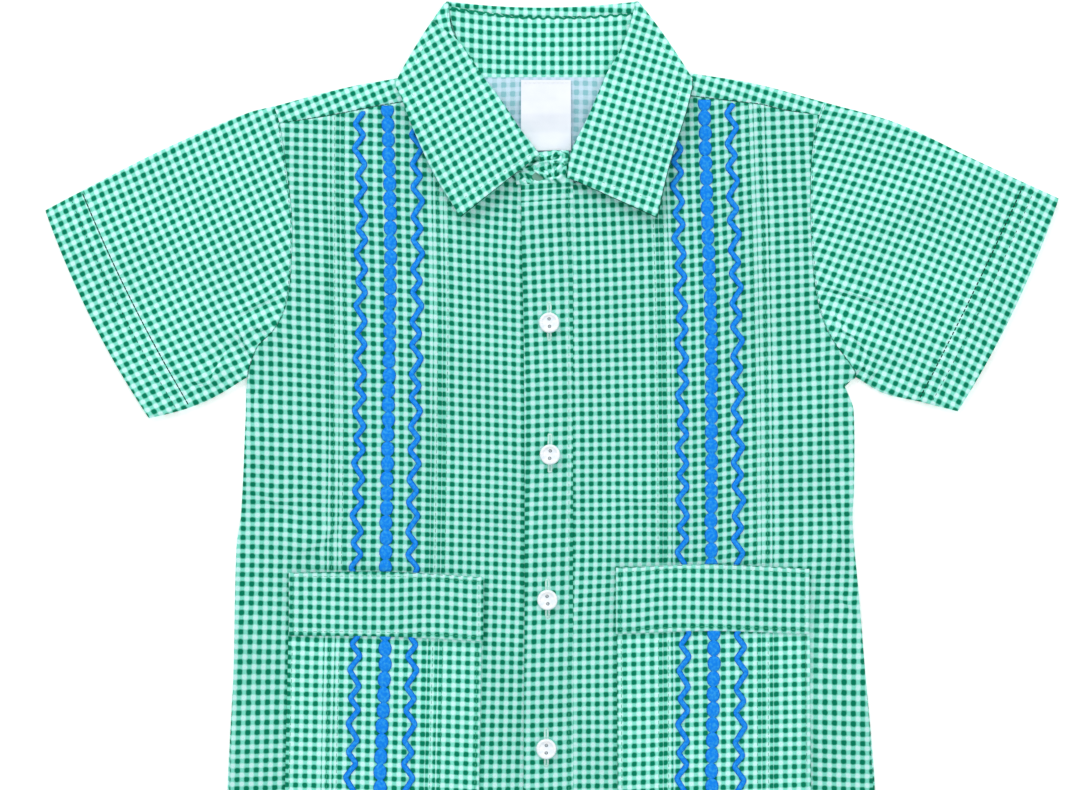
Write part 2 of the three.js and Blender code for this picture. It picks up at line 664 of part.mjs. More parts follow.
function collarBack() {
  const shares = [0, 0.17, 0.33, 0.5, 0.67, 0.83, 1];
  const face = (inside) => COLLAR_BACK.map((row) => shares.map((share) => [
    lerp(row.left, row.right, share),
    row.down + row.sag * 4 * share * (1 - share) + (inside ? row.inset : 0),
    inside ? row.lining : row.rise,
  ]));
  return wall(face(false), face(true));
}

// The binding is drawn up in short slanting folds.
function binding() {
  const shares = [0, 0.12, 0.25, 0.38, 0.5, 0.62, 0.75, 0.88, 1];
  return sheet(BINDING.map((row, i) => shares.map((share, k) => {
    const x = lerp(row.left, row.right, share);
    const folds = Math.sin(k * 1.9 + i * 0.8) * 0.8 + Math.sin(i * 2.1 - k * 0.6) * 0.5;
    return [x, row.down, 5.3 + folds];
  })));
}

function label() {
  const rows = [LABEL.top, 50, 58, LABEL.end];
  const lift = (down) => LAYER * part((58 - down) / 8);
  return sheet(
    rows.map((down) => [LABEL.left, LABEL.right].map((x) => [x, down, LAYER + LABEL.thickness + lift(down)])),
    LABEL.thickness,
  );
}

// A pocket is set with tucks that run on from those above it.
function pocketGrid(side, curves) {
  const top = Math.max(...side.band.map((row) => row.top)) + 0.5;
  const under = Math.max(...side.band.map((row) => row.bottom)) + GAP;
  return [top, under, under + 0.8, 312, 340, POCKET_END].map((down) => {
    const edges = [curves.pocketOuter(down), curves.pocketInner(down)];
    return acrossRow(side, tuckColumns(side), curves.shift(down), ...edges)
      .map(({ x, crest }) => [x, down, FRONT_TOP + LAYER + (down > under ? crest : 0)]);
  });
}

// The band is a plain strip over the pocket's mouth, sewn along all its edges.
function pocketBand(side, curves) {
  const xs = [0, 0.25, 0.5, 0.75, 1].map((share) => lerp(side.band[0].x, side.band[2].x, share));
  return sheet([0, 0.5, 1].map((share) => xs.map((x) => [
    x,
    lerp(curves.bandTop(x), curves.bandBottom(x), share),
    FRONT_TOP + 2 * LAYER,
  ])));
}

const CHAIN = { pitch: 6.5, half: 2.9, neck: 0.9, height: 1.0, neckHeight: 0.6 };
const ZIGZAG = { period: 11.8, swing: 2.3, half: 1.05, height: 0.9, flat: 0.14 };

// Embroidery is a three-sided bar that lies just above the cloth, through stations along its line.
function embroidery(stations, surface) {
  return bar(stations.map((station, i) => {
    const before = stations[Math.max(i - 1, 0)];
    const after = stations[Math.min(i + 1, stations.length - 1)];
    const run = new THREE.Vector2(after.x - before.x, after.down - before.down).normalize();
    const foot = (way) => {
      const x = station.x + way * station.half * run.y;
      const down = station.down - way * station.half * run.x;
      return [x, down, surface(x, down) + GAP];
    };
    const crest = surface(station.x, station.down) + GAP + station.height;
    return [foot(-1), [station.x, station.down, crest], foot(1)];
  }));
}

function chain(line, from, to, curves, surface) {
  const dots = Math.floor((to - from) / CHAIN.pitch);
  const stations = [];
  for (let i = 0; i <= dots; i += 1) {
    const start = from + i * CHAIN.pitch;
    stations.push({ down: start, half: CHAIN.neck, height: CHAIN.neckHeight });
    if (i === dots) break;
    stations.push({ down: start + 0.3 * CHAIN.pitch, half: CHAIN.half, height: CHAIN.height });
    stations.push({ down: start + 0.7 * CHAIN.pitch, half: CHAIN.half, height: CHAIN.height });
  }
  return embroidery(stations.map((one) => ({ ...one, x: line + curves.shift(one.down) })), surface);
}

function zigzag(line, from, to, way, curves, surface) {
  const turns = Math.floor((to - from) / (ZIGZAG.period / 2));
  const stations = [];
  for (let i = 0; i < turns; i += 1) {
    const side = i % 2 ? -way : way;
    for (const share of [0.5 - ZIGZAG.flat, 0.5 + ZIGZAG.flat]) {
      const down = from + (i + share) * (ZIGZAG.period / 2);
      stations.push({ x: line + curves.shift(down) + side * ZIGZAG.swing, down });
    }
  }
  return embroidery(stations.map((one) => ({ ...one, half: ZIGZAG.half, height: ZIGZAG.height })), surface);
}

// Each embroidered line is worked in three stretches: on the front above the pocket, on the pocket, and on
// the front below it.
function embroiderSide(side, curves, front, pocket) {
  const bandX = side.chain.x + curves.shift(265);
  const stretches = [
    { name: 'upper', to: curves.bandTop(bandX) - 0.8, surface: heightOn(front) },
    { name: 'pocket', from: curves.bandBottom(bandX) + 3, to: POCKET_END - 2, surface: heightOn(pocket) },
    { name: 'lower', from: POCKET_END + 2, to: LEG_END - HEM_DEPTH - 2, surface: heightOn(front) },
  ];
  for (const stretch of stretches) {
    const { surface, to } = stretch;
    const label = `${side.name}_${stretch.name}`;
    add(`chain_${label}`, chain(side.chain.x, stretch.from ?? side.chain.start, to, curves, surface), THREAD);
    for (const [where, line] of Object.entries(side.zigzags)) {
      const way = where === 'outer' ? side.sign : -side.sign;
      const geometry = zigzag(line.x, stretch.from ?? line.start, to, way, curves, surface);
      add(`zigzag_${where}_${label}`, geometry, THREAD);
    }
  }
}

// A sewn-through button with a rim and two holes, one above the other.
function button({ x, down }) {
  const { radius, height, hole, holeApart } = BUTTON;
  const profile = [
    [0, 0], [radius - 0.3, 0], [radius, 0.5], [radius, height - 0.4], [radius - 0.4, height],
    [radius - 1.1, height], [radius - 1.6, height - 0.6], [0, height - 0.7],
  ].map(([r, z]) => new THREE.Vector2(r, z));
  const disc = new THREE.LatheGeometry(profile, 14).rotateX(Math.PI / 2);
  const drill = (offset) => new THREE.CylinderGeometry(hole, hole, 3 * height, 8).rotateX(Math.PI / 2)
    .translate(0, offset, 0);
  const holes = toManifold(drill(holeApart)).add(toManifold(drill(-holeApart)));
  const [px, py, pz] = place([x, down, FRONT_TOP + 2 * LAYER - CLOTH]);
  return fromManifold(toManifold(disc).subtract(holes)).translate(px, py, pz);
}

add('back', back(), GINGHAM);
for (const side of [LEFT, RIGHT]) {
  const curves = curvesOf(side);
  const front = frontGrid(side, curves);
  const pocket = pocketGrid(side, curves);
  add(`front_${side.name}`, sheet(front), GINGHAM);
  add(`yoke_${side.name}`, yoke(side, curves), GINGHAM);
  add(`sleeve_${side.name}`, sleeve(side, curves), GINGHAM);
  add(`pocket_${side.name}`, sheet(pocket), GINGHAM);
  add(`pocket_band_${side.name}`, pocketBand(side, curves), GINGHAM);
  embroiderSide(side, curves, front, pocket);
}
add('placket', placket(), GINGHAM);
add('collar_left', collarLeaf(COLLAR_LEFT, -1), GINGHAM);
add('collar_right', collarLeaf(COLLAR_RIGHT, 1), GINGHAM);
add('collar_back', collarBack(), GINGHAM);
add('neck_binding', binding(), GINGHAM);
add('label', label(), RIBBON);
BUTTONS.forEach((spot, i) => add(`button_${i + 1}`, button(spot), PEARL));

export default garment;
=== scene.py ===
"""The looks of a child's short-sleeved romper that lies flat with its front up.

Tables and lengths are in millimetres, as in the solids: x runs across from the button line, down from the
collar's top fold, and z up from the floor. Meshes are made in metres in the row frame.
"""
import math
from types import SimpleNamespace

import bpy
import numpy as np
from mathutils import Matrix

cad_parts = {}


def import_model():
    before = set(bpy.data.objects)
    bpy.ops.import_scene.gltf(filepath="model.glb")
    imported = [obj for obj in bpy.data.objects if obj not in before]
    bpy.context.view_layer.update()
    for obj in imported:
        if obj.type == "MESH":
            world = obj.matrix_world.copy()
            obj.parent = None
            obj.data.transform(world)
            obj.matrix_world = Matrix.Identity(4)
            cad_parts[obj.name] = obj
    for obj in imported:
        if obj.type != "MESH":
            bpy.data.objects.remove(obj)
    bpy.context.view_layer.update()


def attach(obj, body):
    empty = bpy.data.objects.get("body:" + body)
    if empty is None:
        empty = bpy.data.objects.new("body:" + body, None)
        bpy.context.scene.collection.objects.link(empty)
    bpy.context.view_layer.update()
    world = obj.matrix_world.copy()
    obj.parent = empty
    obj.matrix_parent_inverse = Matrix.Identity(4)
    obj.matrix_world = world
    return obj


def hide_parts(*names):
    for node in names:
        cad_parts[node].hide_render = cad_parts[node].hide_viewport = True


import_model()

# Sizes that the solids have too.
CLOTH = 1.2
GAP = 0.3
LAYER = CLOTH + GAP
FRONT_TOP = LAYER + CLOTH
MIDDLE_X = 1.1
MIDDLE_DOWN = 262.5
NECK_SEAM = 33.8
NECK_HALF = 50  # the neck seam is level as far as this to either side
SHOULDER_POINT = 60
SHOULDER_END = 121
YOKE_END = 118.6
ARMPIT = 165.6
FIRST_ROW = 84
CROTCH = 474
LEG_END = 524.6
HEM_DEPTH = 16
HEM_RAISE = 0.4
CUFF_BOW = 3.2
POCKET_END = 368.8
PLACKET = {"left": -11.3, "right": 9.8, "top": 80.9, "end": 421}
OVERLAP_X = 8.1
LIFT_END = 50
BAND_TOP = FRONT_TOP + 2 * LAYER
POCKET_TOP = FRONT_TOP + LAYER

# Sizes of the finer forms.
THIN = 0.6  # one layer of the cloth
DOUBLE = 1.0  # where it is turned in or faced
HEMMED = 1.05  # in the sleeves' hems
CHECK = 4.0  # width of one repeat of the check
TUCK_CLOTH = 2.4  # cloth that a pintuck takes up
TUCK_SEAM = 0.9  # from a pintuck's line to its stitches
SEAM_ROLL = (1.2, 0.45)  # width and depth of an edge that is turned in at a seam
CHECK_LAID = 3.94  # one repeat of the check as it lies on the collar and the pocket bands
FACE_SINK = 0.15  # how far the faces of the pockets and their bands lie below the solids'
SEAM_INSET = 1.9  # from their edges to their stitches
BAND_MIDDLE = 265
WAVE_MEAN = 0.2
FAR = 1e9


def table(columns, *rows):
    """A table with named columns, and one tuple for each row."""
    return dict(zip(columns.split(), np.array(rows, float).T))


def through(rows, along, column):
    """The smooth curve through a table's rows that the solids have."""
    a, b = rows[along], rows[column]
    index = np.arange(len(a))
    before, after = np.maximum(index - 1, 0), np.minimum(index + 1, len(a) - 1)
    slope = (b[after] - b[before]) / (a[after] - a[before])

    def curve(at):
        at = np.clip(np.asarray(at, float), a[0], a[-1])
        i = np.clip(np.searchsorted(a, at, side="right") - 1, 0, len(a) - 2)
        step = a[i + 1] - a[i]
        t = (at - a[i]) / step
        ease = t * t * (3 - 2 * t)
        bend = t * (1 - t) * ((1 - t) * slope[i] - t * slope[i + 1])
        return b[i] + (b[i + 1] - b[i]) * ease + step * bend

    return curve


def lerp(a, b, t):
    return a + (b - a) * t


def part(t):
    return np.clip(t, 0, 1)


def smooth(t):
    t = part(t)
    return t * t * (3 - 2 * t)


def bell(away, width):
    """A soft ridge's profile: 1 on its line, and almost nothing at twice the width from it."""
    return np.exp(-((away / width) ** 2))


def travelled(places):
    """How far each place lies along its line. The lines run down the first axis."""
    steps = np.linalg.norm(np.diff(places, axis=0), axis=-1)
    return np.concatenate([np.zeros((1, *steps.shape[1:])), np.cumsum(steps, axis=0)])


# The two sides, left and right as they are seen. "first" and "repeats" say where the embroidery's lines
# start, and where and how often they repeat. Names that end in start, turn, bend, scale, drift, tilt or rows
# lay the check's rows and columns on a piece. "fixed" is the stretch of a front that moves with its tucks.
LEFT = {
    "name": "left",
    "sign": -1,
    "edge": table(
        "down x",
        (46.5, -121.0), (53.9, -118.6), (76.4, -115.2), (98, -113.0), (125, -114.1), (137, -116.7),
        (145.3, -121.4), (152, -128.0), (165.6, -132.7), (184, -133.6), (226, -135.6), (240, -137.6),
        (294, -138.9), (346, -140.8), (474, -144.5), (524.6, -146.0),
    ),
    "fold": table("x down", (-121.0, 46.5), (-90.7, 38.6), (-66.1, 34.2), (-60, 33.4)),
    "seam": table("x down", (-118.6, 53.9), (-101.2, 51.4), (-86.3, 48.7), (-74.8, 46.5), (-60, 44.2)),
    "neckline": table("x down", (-60, 44.2), (-48, 56.2), (-30.5, 68), (-13, 79), (8.4, 80.4)),
    "shift": table("down by", (150, 0), (250, -1.4), (345, -3.6), (525, -5)),
    "fixed": (-108, -13),
    "drift": table(
        "down across along",
        (88, -0.8, 0.6), (130, -1.6, 0.5), (170, -2, 0.5), (206, -2.9, 0.7), (240, -3.1, 2.3),
        (275, -3.3, 2.7), (325, -3, 1.6), (525, -2, 1),
    ),
    "side_drift": (0, -0.3),
    "low_tilt": 0,
    "hem_width": (18.6, -1.1, 0.8),
    "hem_start": (1.4, 0.2),
    "hem_stitch": 2.2,
    "sleeve_start": (-1.8, -0.55),
    "collar_start": (0, -1.4),
    "collar_scale": (1, 0.976),
    "yoke_start": (1.46, 1.85),
    "pocket_start": (-0.55, 0.2),
    "band_start": (1.35, -1.6),
    "band_rows": table(
        "x by", (-114, -1.7), (-112, -1.8), (-89, -2.4), (-72, -2.3), (-53, -1.4), (-33, -2.85)
    ),
    "tucks": (-95.2, -90.9, -49.9, -45.5),
    "first": {"outer": 48.9, "chain": 46.5, "inner": 54.5},
    "lines": table(
        "down outer chain inner",
        (46.5, -83.8, -71, -58.8), (60, -83.7, -70.8, -58.5), (72, -83.1, -70.4, -58.2),
        (100, -82.7, -69.8, -57.8), (137, -82.9, -70.1, -58.3), (184, -83.5, -70.8, -58.9),
        (206, -83.9, -71.2, -59.5), (229, -84.6, -71.7, -60.1), (248, -84.9, -71.9, -60.2),
        (283, -85.1, -72, -60.1), (300, -85.6, -72.5, -60.6), (320, -86.2, -73.4, -61.3),
        (341, -87.2, -74.3, -62.2), (400, -87.6, -75, -62.8), (525, -87.8, -75.6, -63.3),
    ),
    "repeats": {
        "outer": ((65.2, 23), (293.8, 23.65)),
        "chain": ((51.6, 6.47), (288, 6.78)),
        "inner": ((65.1, 23.05), (294.1, 23.65)),
    },
    "band": table(
        "x top bottom", (-114.3, 251.3, 278.9), (-71.8, 250.8, 279.4), (-29.0, 253.3, 281.4)
    ),
    "pocket": table("down outer inner", (251, -114.0, -29.3), (346, -116.1, -30.9), (369, -116.5, -31.2)),
    "sleeve_top": table(
        "s x down",
        (0, -121.3, 46.5), (0.13, -133.2, 49.6), (0.49, -170.6, 65.8), (0.84, -205.7, 83.8),
        (1, -221.5, 92.2),
    ),
    "sleeve_under": table(
        "s x down", (0, -133.0, 165.6), (0.33, -147.3, 174.3), (0.65, -160.0, 179.6), (1, -175.9, 183.7)
    ),
    "sleeve_turn": (21.3, 25.7),
    "sleeve_bend": (0.0017, 0),
    "yoke_turn": 23,
    "collar_turn": (27.4, 31),
    "collar": table(
        "row roll_x roll_down edge_x edge_down under lip",
        (0, -44.2, 0.9, -46.4, 1.6, 3.0, 3.0), (1, -42.8, 13.2, -57.5, 18.0, 1.6, 3.0),
        (2, -36.2, 22.8, -66.2, 33.7, 4.6, 3.0), (3, -29.6, 32.9, -67.3, 38.4, 4.6, 3.0),
        (4, -21.3, 43.9, -64.8, 43.2, 4.9, 3.3), (5, -13.4, 55.8, -60.4, 55.3, 5.4, 3.4),
        (6, -8.5, 62.2, -50.7, 76.4, 4.6, 3.4), (7, -4.2, 68.0, -38.9, 95.7, 4.4, 3.6),
    ),
}

RIGHT = {
    "name": "right",
    "sign": 1,
    "edge": table(
        "down x",
        (44.8, 121.0), (50.4, 118.6), (64.5, 115.5), (93, 114.6), (125, 116.6), (140.5, 120.1),
        (149.7, 124.5), (159.8, 131.9), (165.6, 134.6), (168.8, 130), (174, 131.8), (180, 133.7),
        (214, 133.9), (229, 133.2), (260, 135.9), (308, 139.8), (346, 142.3), (474, 146.5), (524.6, 148.0),
    ),
    "fold": table("x down", (60, 32), (63.9, 32.5), (79.7, 34.7), (94.2, 37.5), (121.0, 44.8)),
    "seam": table("x down", (60, 42), (81.9, 44.6), (93.3, 45.8), (102.1, 48), (118.6, 50.4)),
    "neckline": table("x down", (8.4, 80.4), (20, 77.5), (34, 66), (48, 54.5), (60, 42)),
    "shift": table("down by", (45, 0), (110, 2.2), (176, 3.5), (345, 4.2), (525, 5)),
    "fixed": (18, 107),
    "drift": table(
        "down across along",
        (88, -0.9, -1), (130, -0.9, -1), (170, -0.9, -0.9), (206, -1.2, -0.3), (240, -1, 1.5),
        (275, 0.3, 2.1), (325, 0.8, 0.1), (525, 0, 0),
    ),
    "side_drift": (2.4, 2.7),
    "low_tilt": 0.07,
    "hem_width": (16.9, -2.45, 1.9),
    "hem_start": (-0.5, 0.7),
    "hem_stitch": 1.7,
    "sleeve_start": (0.2, -0.95),
    "collar_start": (-0.85, 1.7),
    "collar_scale": (0.98, 1),
    "yoke_start": (-0.89, 0.14),
    "pocket_start": (1.1, 0.15),
    "band_start": (-1.1, 2),
    "band_rows": table(
        "x by",
        (31, -3.5), (39, -2.9), (46.5, -2), (55, -1.5), (71, -1.65), (84, -1.9), (96, -2.3), (112, -3),
    ),
    "tucks": (44.7, 49, 88, 92.8),
    "first": {"outer": 45.6, "chain": 43.9, "inner": 55.5},
    "lines": table(
        "down outer chain inner",
        (44, 79.6, 67.9, 55.2), (60, 80, 68.3, 55.5), (80, 80.4, 68.9, 56.1), (103, 81.2, 69.6, 56.8),
        (126, 82, 70.4, 57.6), (150, 82.5, 71.1, 58.1), (175, 82.6, 71.1, 58.4), (200, 82.7, 71.1, 58.2),
        (222, 83.2, 71, 58.5), (242, 82.7, 71, 58.3), (283, 84.1, 72.1, 59.2), (300, 83.9, 71.9, 58.8),
        (320, 83.6, 71.5, 58.4), (341, 83.1, 71.1, 58.1), (400, 83.3, 71.6, 58.4), (525, 83.8, 72.4, 59),
    ),
    "repeats": {
        "outer": ((56.0, 23.35), (295.1, 23.65)),
        "chain": ((55.2, 6.54), (281.1, 6.72)),
        "inner": ((58.5, 23), (294.2, 23.7)),
    },
    "band": table("x top bottom", (29.1, 249.1, 278.2), (71.3, 247.6, 276.9), (113.9, 249.7, 278.3)),
    "pocket": table("down outer inner", (247, 113.7, 29.4), (346, 114.8, 29.9), (369, 115, 30)),
    "sleeve_top": table(
        "s x down",
        (0, 121.3, 44.8), (0.31, 152.6, 53.8), (0.63, 185.9, 69.4), (0.85, 208.3, 79.9), (1, 223.7, 87),
    ),
    "sleeve_under": table(
        "s x down", (0, 134.9, 165.6), (0.3, 146.8, 172.5), (0.65, 163.5, 176.5), (1, 179.3, 180.6)
    ),
    "sleeve_turn": (-23.8, -16.4),
    "sleeve_bend": (0, 0.003),
    "yoke_turn": -17.5,
    "collar_turn": (-16.3, -17.5),
    "collar": table(
        "row roll_x roll_down edge_x edge_down under lip",
        (0, 37.8, 0.9, 40.0, 1.6, 3.0, 3.0), (1, 34.9, 12.3, 50.3, 15.2, 1.6, 3.0),
        (2, 30.5, 22.8, 60.9, 31.8, 4.6, 3.0), (3, 24.8, 33.0, 62.9, 36.4, 4.6, 3.0),
        (4, 20.0, 44.0, 61.6, 43.5, 4.9, 3.3), (5, 16.0, 53.1, 59.0, 53.1, 5.6, 3.4),
        (6, 9.4, 66.7, 52.8, 72.4, 4.7, 3.4), (7, 7.7, 78.1, 47.2, 96.1, 4.4, 3.6),
    ),
}

# How far the legs' inner edges lie from the middle.
INSEAM = through(table("down x", (474, 0.15), (480, 2.5), (492, 5.5), (508, 7.5), (524.6, 8)), "down", "x")

# Ridges that the solids have too, and finer ones that only show here.
CREASES = table(
    "x0 down0 x1 down1 height half",
    (-123, 139, -146, 149, 1.6, 5), (-136, 156, -152, 170, 1.2, 5), (-127, 172, -121, 205, 1.0, 6),
    (121, 137, 143, 163, 2.0, 5.5), (138, 146, 158, 160, 1.4, 5), (118, 134, 123, 226, 1.2, 5.5),
    (130, 216, 126, 250, 1.2, 5), (140, 97, 190, 73, 1.1, 7), (-134, 228, -96, 243, 1.1, 6),
    (48, 168, 57, 244, 0.8, 5), (-34, 213, -10, 229, 0.8, 6), (-170, 96, -140, 128, 0.8, 7),
    (22, 128, 62, 118, 0.7, 7),
)
FINE_CREASES = table(
    "x0 down0 x1 down1 height half",
    (-129, 178, -118, 232, 0.5, 3.5), (-137, 262, -120, 300, 0.45, 5), (-25, 120, -15, 176, 0.4, 5),
    (-36, 200, -18, 236, 0.4, 6), (-34, 262, -14, 312, 0.45, 5), (16, 96, 34, 150, 0.35, 6),
    (14, 214, 38, 244, 0.4, 5), (20, 286, 27, 350, 0.4, 5), (-106, 96, -103, 158, 0.4, 4),
    (104, 92, 108, 176, 0.4, 4), (127, 252, 133, 322, 0.6, 4), (-152, 96, -206, 118, 0.35, 7),
    (-150, 132, -196, 150, 0.4, 6), (-148, 168, -168, 158, 0.6, 3), (146, 84, 204, 106, 0.35, 7),
    (150, 124, 198, 138, 0.4, 6), (152, 170, 176, 160, 0.6, 3), (-128, 330, -119, 420, 0.5, 6),
    (-90, 400, -70, 470, 0.5, 8), (24, 400, 60, 446, 0.5, 8), (128, 350, 120, 440, 0.5, 6),
    (-40, 430, -12, 480, 0.6, 6), (42, 452, 14, 486, 0.6, 6), (86, 392, 96, 470, 0.4, 7),
)

# Folds under the arms, down the sides and on the fronts: the line of each, how high the cloth steps up on
# one side of it, how far off it has eased down, how much cloth is taken up, and half the width that hides
# that cloth.
FOLDS = [
    (
        [
            (-140.2, 152), (-142.1, 154.7), (-144.5, 158.3), (-146.7, 161.8), (-148.6, 165.7),
            (-150.4, 169.5),
        ],
        1.3, 6, 1.6, 0.7,
    ),
    ([(-137.2, 145), (-135.9, 147.3), (-134.3, 150.8), (-132.4, 154.7), (-130.3, 158)], 1.3, 5, 1.5, 0.7),
    ([(-132.5, 143.6), (-126.9, 144.6), (-123, 146.5)], 0.9, 4, 1, 0.6),
    ([(-139, 140), (-134.6, 137.4), (-128.8, 134.3), (-122.7, 131.7), (-118, 130)], 1.2, 6, 2.6, 3.5),
    ([(-158, 167.8), (-156.2, 168.1), (-148.4, 169.6)], 0.7, 4, 1.6, 2),
    ([(-127.5, 168), (-130.5, 176), (-131, 190)], 0.7, 5, 0.8, 0.8),
    (
        [
            (124.5, 134), (125.6, 136.4), (126, 140), (128.4, 141.8), (128, 145), (129.6, 146.2),
            (133.2, 148), (138.4, 154.2), (140, 156.8), (145, 159.5),
        ],
        1.6, 7, 1.8, 0.7,
    ),
    ([(133.2, 165.5), (135.5, 162.5), (139.5, 160.4)], 1.2, 3, 1.2, 0.6),
    ([(137.5, 169), (141.2, 165), (144.8, 162.4)], 1.2, 3, 1.2, 0.6),
    ([(136.5, 157.5), (138.6, 162), (138.8, 167)], 1, 2.5, 1, 0.6),
    ([(118, 126.5), (123.8, 127.3), (132, 129.5), (146.4, 133), (156, 136.5)], 1.3, 7, 3.2, 3.8),
    ([(121.6, 158), (120.8, 172), (120.3, 195), (121, 230)], 0.7, 5, 1.4, 0.8),
    ([(129.5, 217), (127.5, 232), (130, 246)], 1, 4, 1.2, 0.9),
    ([(125.5, 262), (130, 265), (134.5, 270.5)], 0.9, 3, 1.2, 0.7),
    ([(-128, 218), (-120, 221), (-111, 220)], 0.8, 7, 1.4, 2.5),
    ([(-116, 246), (-104, 241), (-96, 235), (-92, 228)], 0.8, 6, 1.5, 2),
    ([(28, 218), (40, 221), (52, 219)], 0.6, 7, 1.2, 3),
]


def ridges(rows, x, down):
    """The heights of a table's ridges at these places, one array for each."""
    for k in range(len(rows["x0"])):
        run_x, run_down = rows["x1"][k] - rows["x0"][k], rows["down1"][k] - rows["down0"][k]
        length = math.hypot(run_x, run_down)
        to_x, to_down = x - rows["x0"][k], down - rows["down0"][k]
        along = (to_x * run_x + to_down * run_down) / length**2
        across = np.abs(to_x * run_down - to_down * run_x) / length
        taper = np.sin(np.pi * part(along))
        yield rows["height"][k] * taper * bell(across, rows["half"][k])


def fold_effect(fold, x, down):
    """How far the cloth stands up beside one fold, and how its place on the cloth moves across and down."""
    line, step_up, ease, take, soft = fold
    line = np.array(line, float)
    pieces = len(line) - 1
    margin = 0.12  # share of a piece by which the fold fades out past each end
    step = 0.7  # half the width of the step
    reach = 12  # distance at which little of the taken cloth is left
    nearest = np.full(np.shape(x), FAR)
    height, move_x, move_down = np.zeros((3, *np.shape(x)))
    for k in range(pieces):
        run = line[k + 1] - line[k]
        length = math.hypot(*run)
        held = part(((x - line[k][0]) * run[0] + (down - line[k][1]) * run[1]) / length**2)
        off_x, off_down = x - line[k][0] - held * run[0], down - line[k][1] - held * run[1]
        away = np.hypot(off_x, off_down)
        signed = away * np.sign(off_x * run[1] - off_down * run[0])
        taper = np.sin(np.pi * part((k + held + margin) / (pieces + 2 * margin)))
        rise = smooth((signed + step) / (2 * step)) * np.exp(-np.maximum(signed, 0) / ease)
        rise -= 0.35 * bell(signed + 0.9, step)
        jump = take * taper * (smooth((signed + soft) / (2 * soft)) - 0.5) * np.exp(-away / reach)
        nearer = away < nearest
        nearest = np.where(nearer, away, nearest)
        height = np.where(nearer, step_up * taper * rise, height)
        move_x = np.where(nearer, jump * run[1] / length, move_x)
        move_down = np.where(nearer, -jump * run[0] / length, move_down)
    return height, move_x, move_down


def fold_effects(x, down):
    """What all the folds do together."""
    return sum(np.array(fold_effect(fold, x, down)) for fold in FOLDS)


def waves(x, down):
    """Soft waves all over the laid cloth."""
    broad = np.sin(x * 0.105 + 1.2 * np.sin(down * 0.023 + 0.6)) * np.sin(down * 0.052 + np.sin(x * 0.041))
    close = np.sin(x * 0.19 + down * 0.07 + 1.4 * np.sin(down * 0.06)) * np.sin(down * 0.15 - x * 0.05)
    return WAVE_MEAN + 0.16 * broad + 0.07 * close


def crease_height(x, down):
    """How far the creases, folds and waves together stand above the plain cloth."""
    main = np.maximum.reduce([np.zeros(np.shape(x)), *ridges(CREASES, x, down)])
    fine = sum(ridges(FINE_CREASES, x, down))
    return main + fine + fold_effects(x, down)[0] + waves(x, down) - WAVE_MEAN


def neck_lift(x):
    """How far the collar's fall behind the neck lifts what lies on it."""
    return LAYER * part((76 - np.abs(x)) / 8)


def back_lift(x, down):
    return neck_lift(x) * part((LIFT_END - down) / 7.5)


def front_lift(x, down):
    return LAYER * part((62 - down) / 12) * part((90 - np.abs(x)) / 14)


def rolled(away, width, depth):
    """How far an edge that is turned down falls, at a distance from it."""
    t = 1 - part(away / width)
    return depth * (1 - np.sqrt(1 - t * t))


def turned(x, down, across, along):
    """Cloth coordinates of a panel whose two ways of thread lie turned anticlockwise by these angles."""
    a, b = math.radians(across), math.radians(along)
    return x * math.cos(a) - down * math.sin(a), x * math.sin(b) + down * math.cos(b)


def sway(u, v, amount=1.0):
    """Cloth coordinates with the slight wander of laid cloth."""
    du = 0.5 * np.sin(v * 0.034 + u * 0.012) + 0.22 * np.sin(v * 0.09 + 1.1)
    dv = 0.7 * np.sin(u * 0.046 + v * 0.011 + 0.7) + 0.25 * np.sin(u * 0.12 + v * 0.02)
    return np.stack([u + amount * du, v + amount * dv], -1)


def curves_of(side):
    """The curves of one side, worked out once from its tables."""
    sign = side["sign"]
    seam = through(side["seam"], "x", "down")
    neck = through(side["neckline"], "x", "down")
    step = PLACKET["end"] + (0 if sign < 0 else 0.8)
    start_x = OVERLAP_X if sign < 0 else OVERLAP_X + GAP

    def inner(down):
        above = lerp(start_x, sign * GAP / 2, part((down - step) / 3.5))
        return np.where(down > CROTCH, sign * INSEAM(down), above)

    def top(x):
        return np.where(np.abs(x) >= SHOULDER_POINT, seam(x), neck(x)) + GAP / 2

    return SimpleNamespace(
        seam=seam,
        top=top,
        inner=inner,
        edge=through(side["edge"], "down", "x"),
        fold=through(side["fold"], "x", "down"),
        shift=through(side["shift"], "down", "by"),
        band_top=through(side["band"], "x", "top"),
        band_bottom=through(side["band"], "x", "bottom"),
        pocket_start=side["band"]["top"].min() - GAP,
        pocket_outer=through(side["pocket"], "down", "outer"),
        pocket_inner=through(side["pocket"], "down", "inner"),
    )


def srgb(red, green, blue):
    """A colour from its eight-bit values."""
    def linear(c):
        c /= 255
        return c / 12.92 if c <= 0.04045 else ((c + 0.055) / 1.055) ** 2.4
    return (linear(red), linear(green), linear(blue), 1)


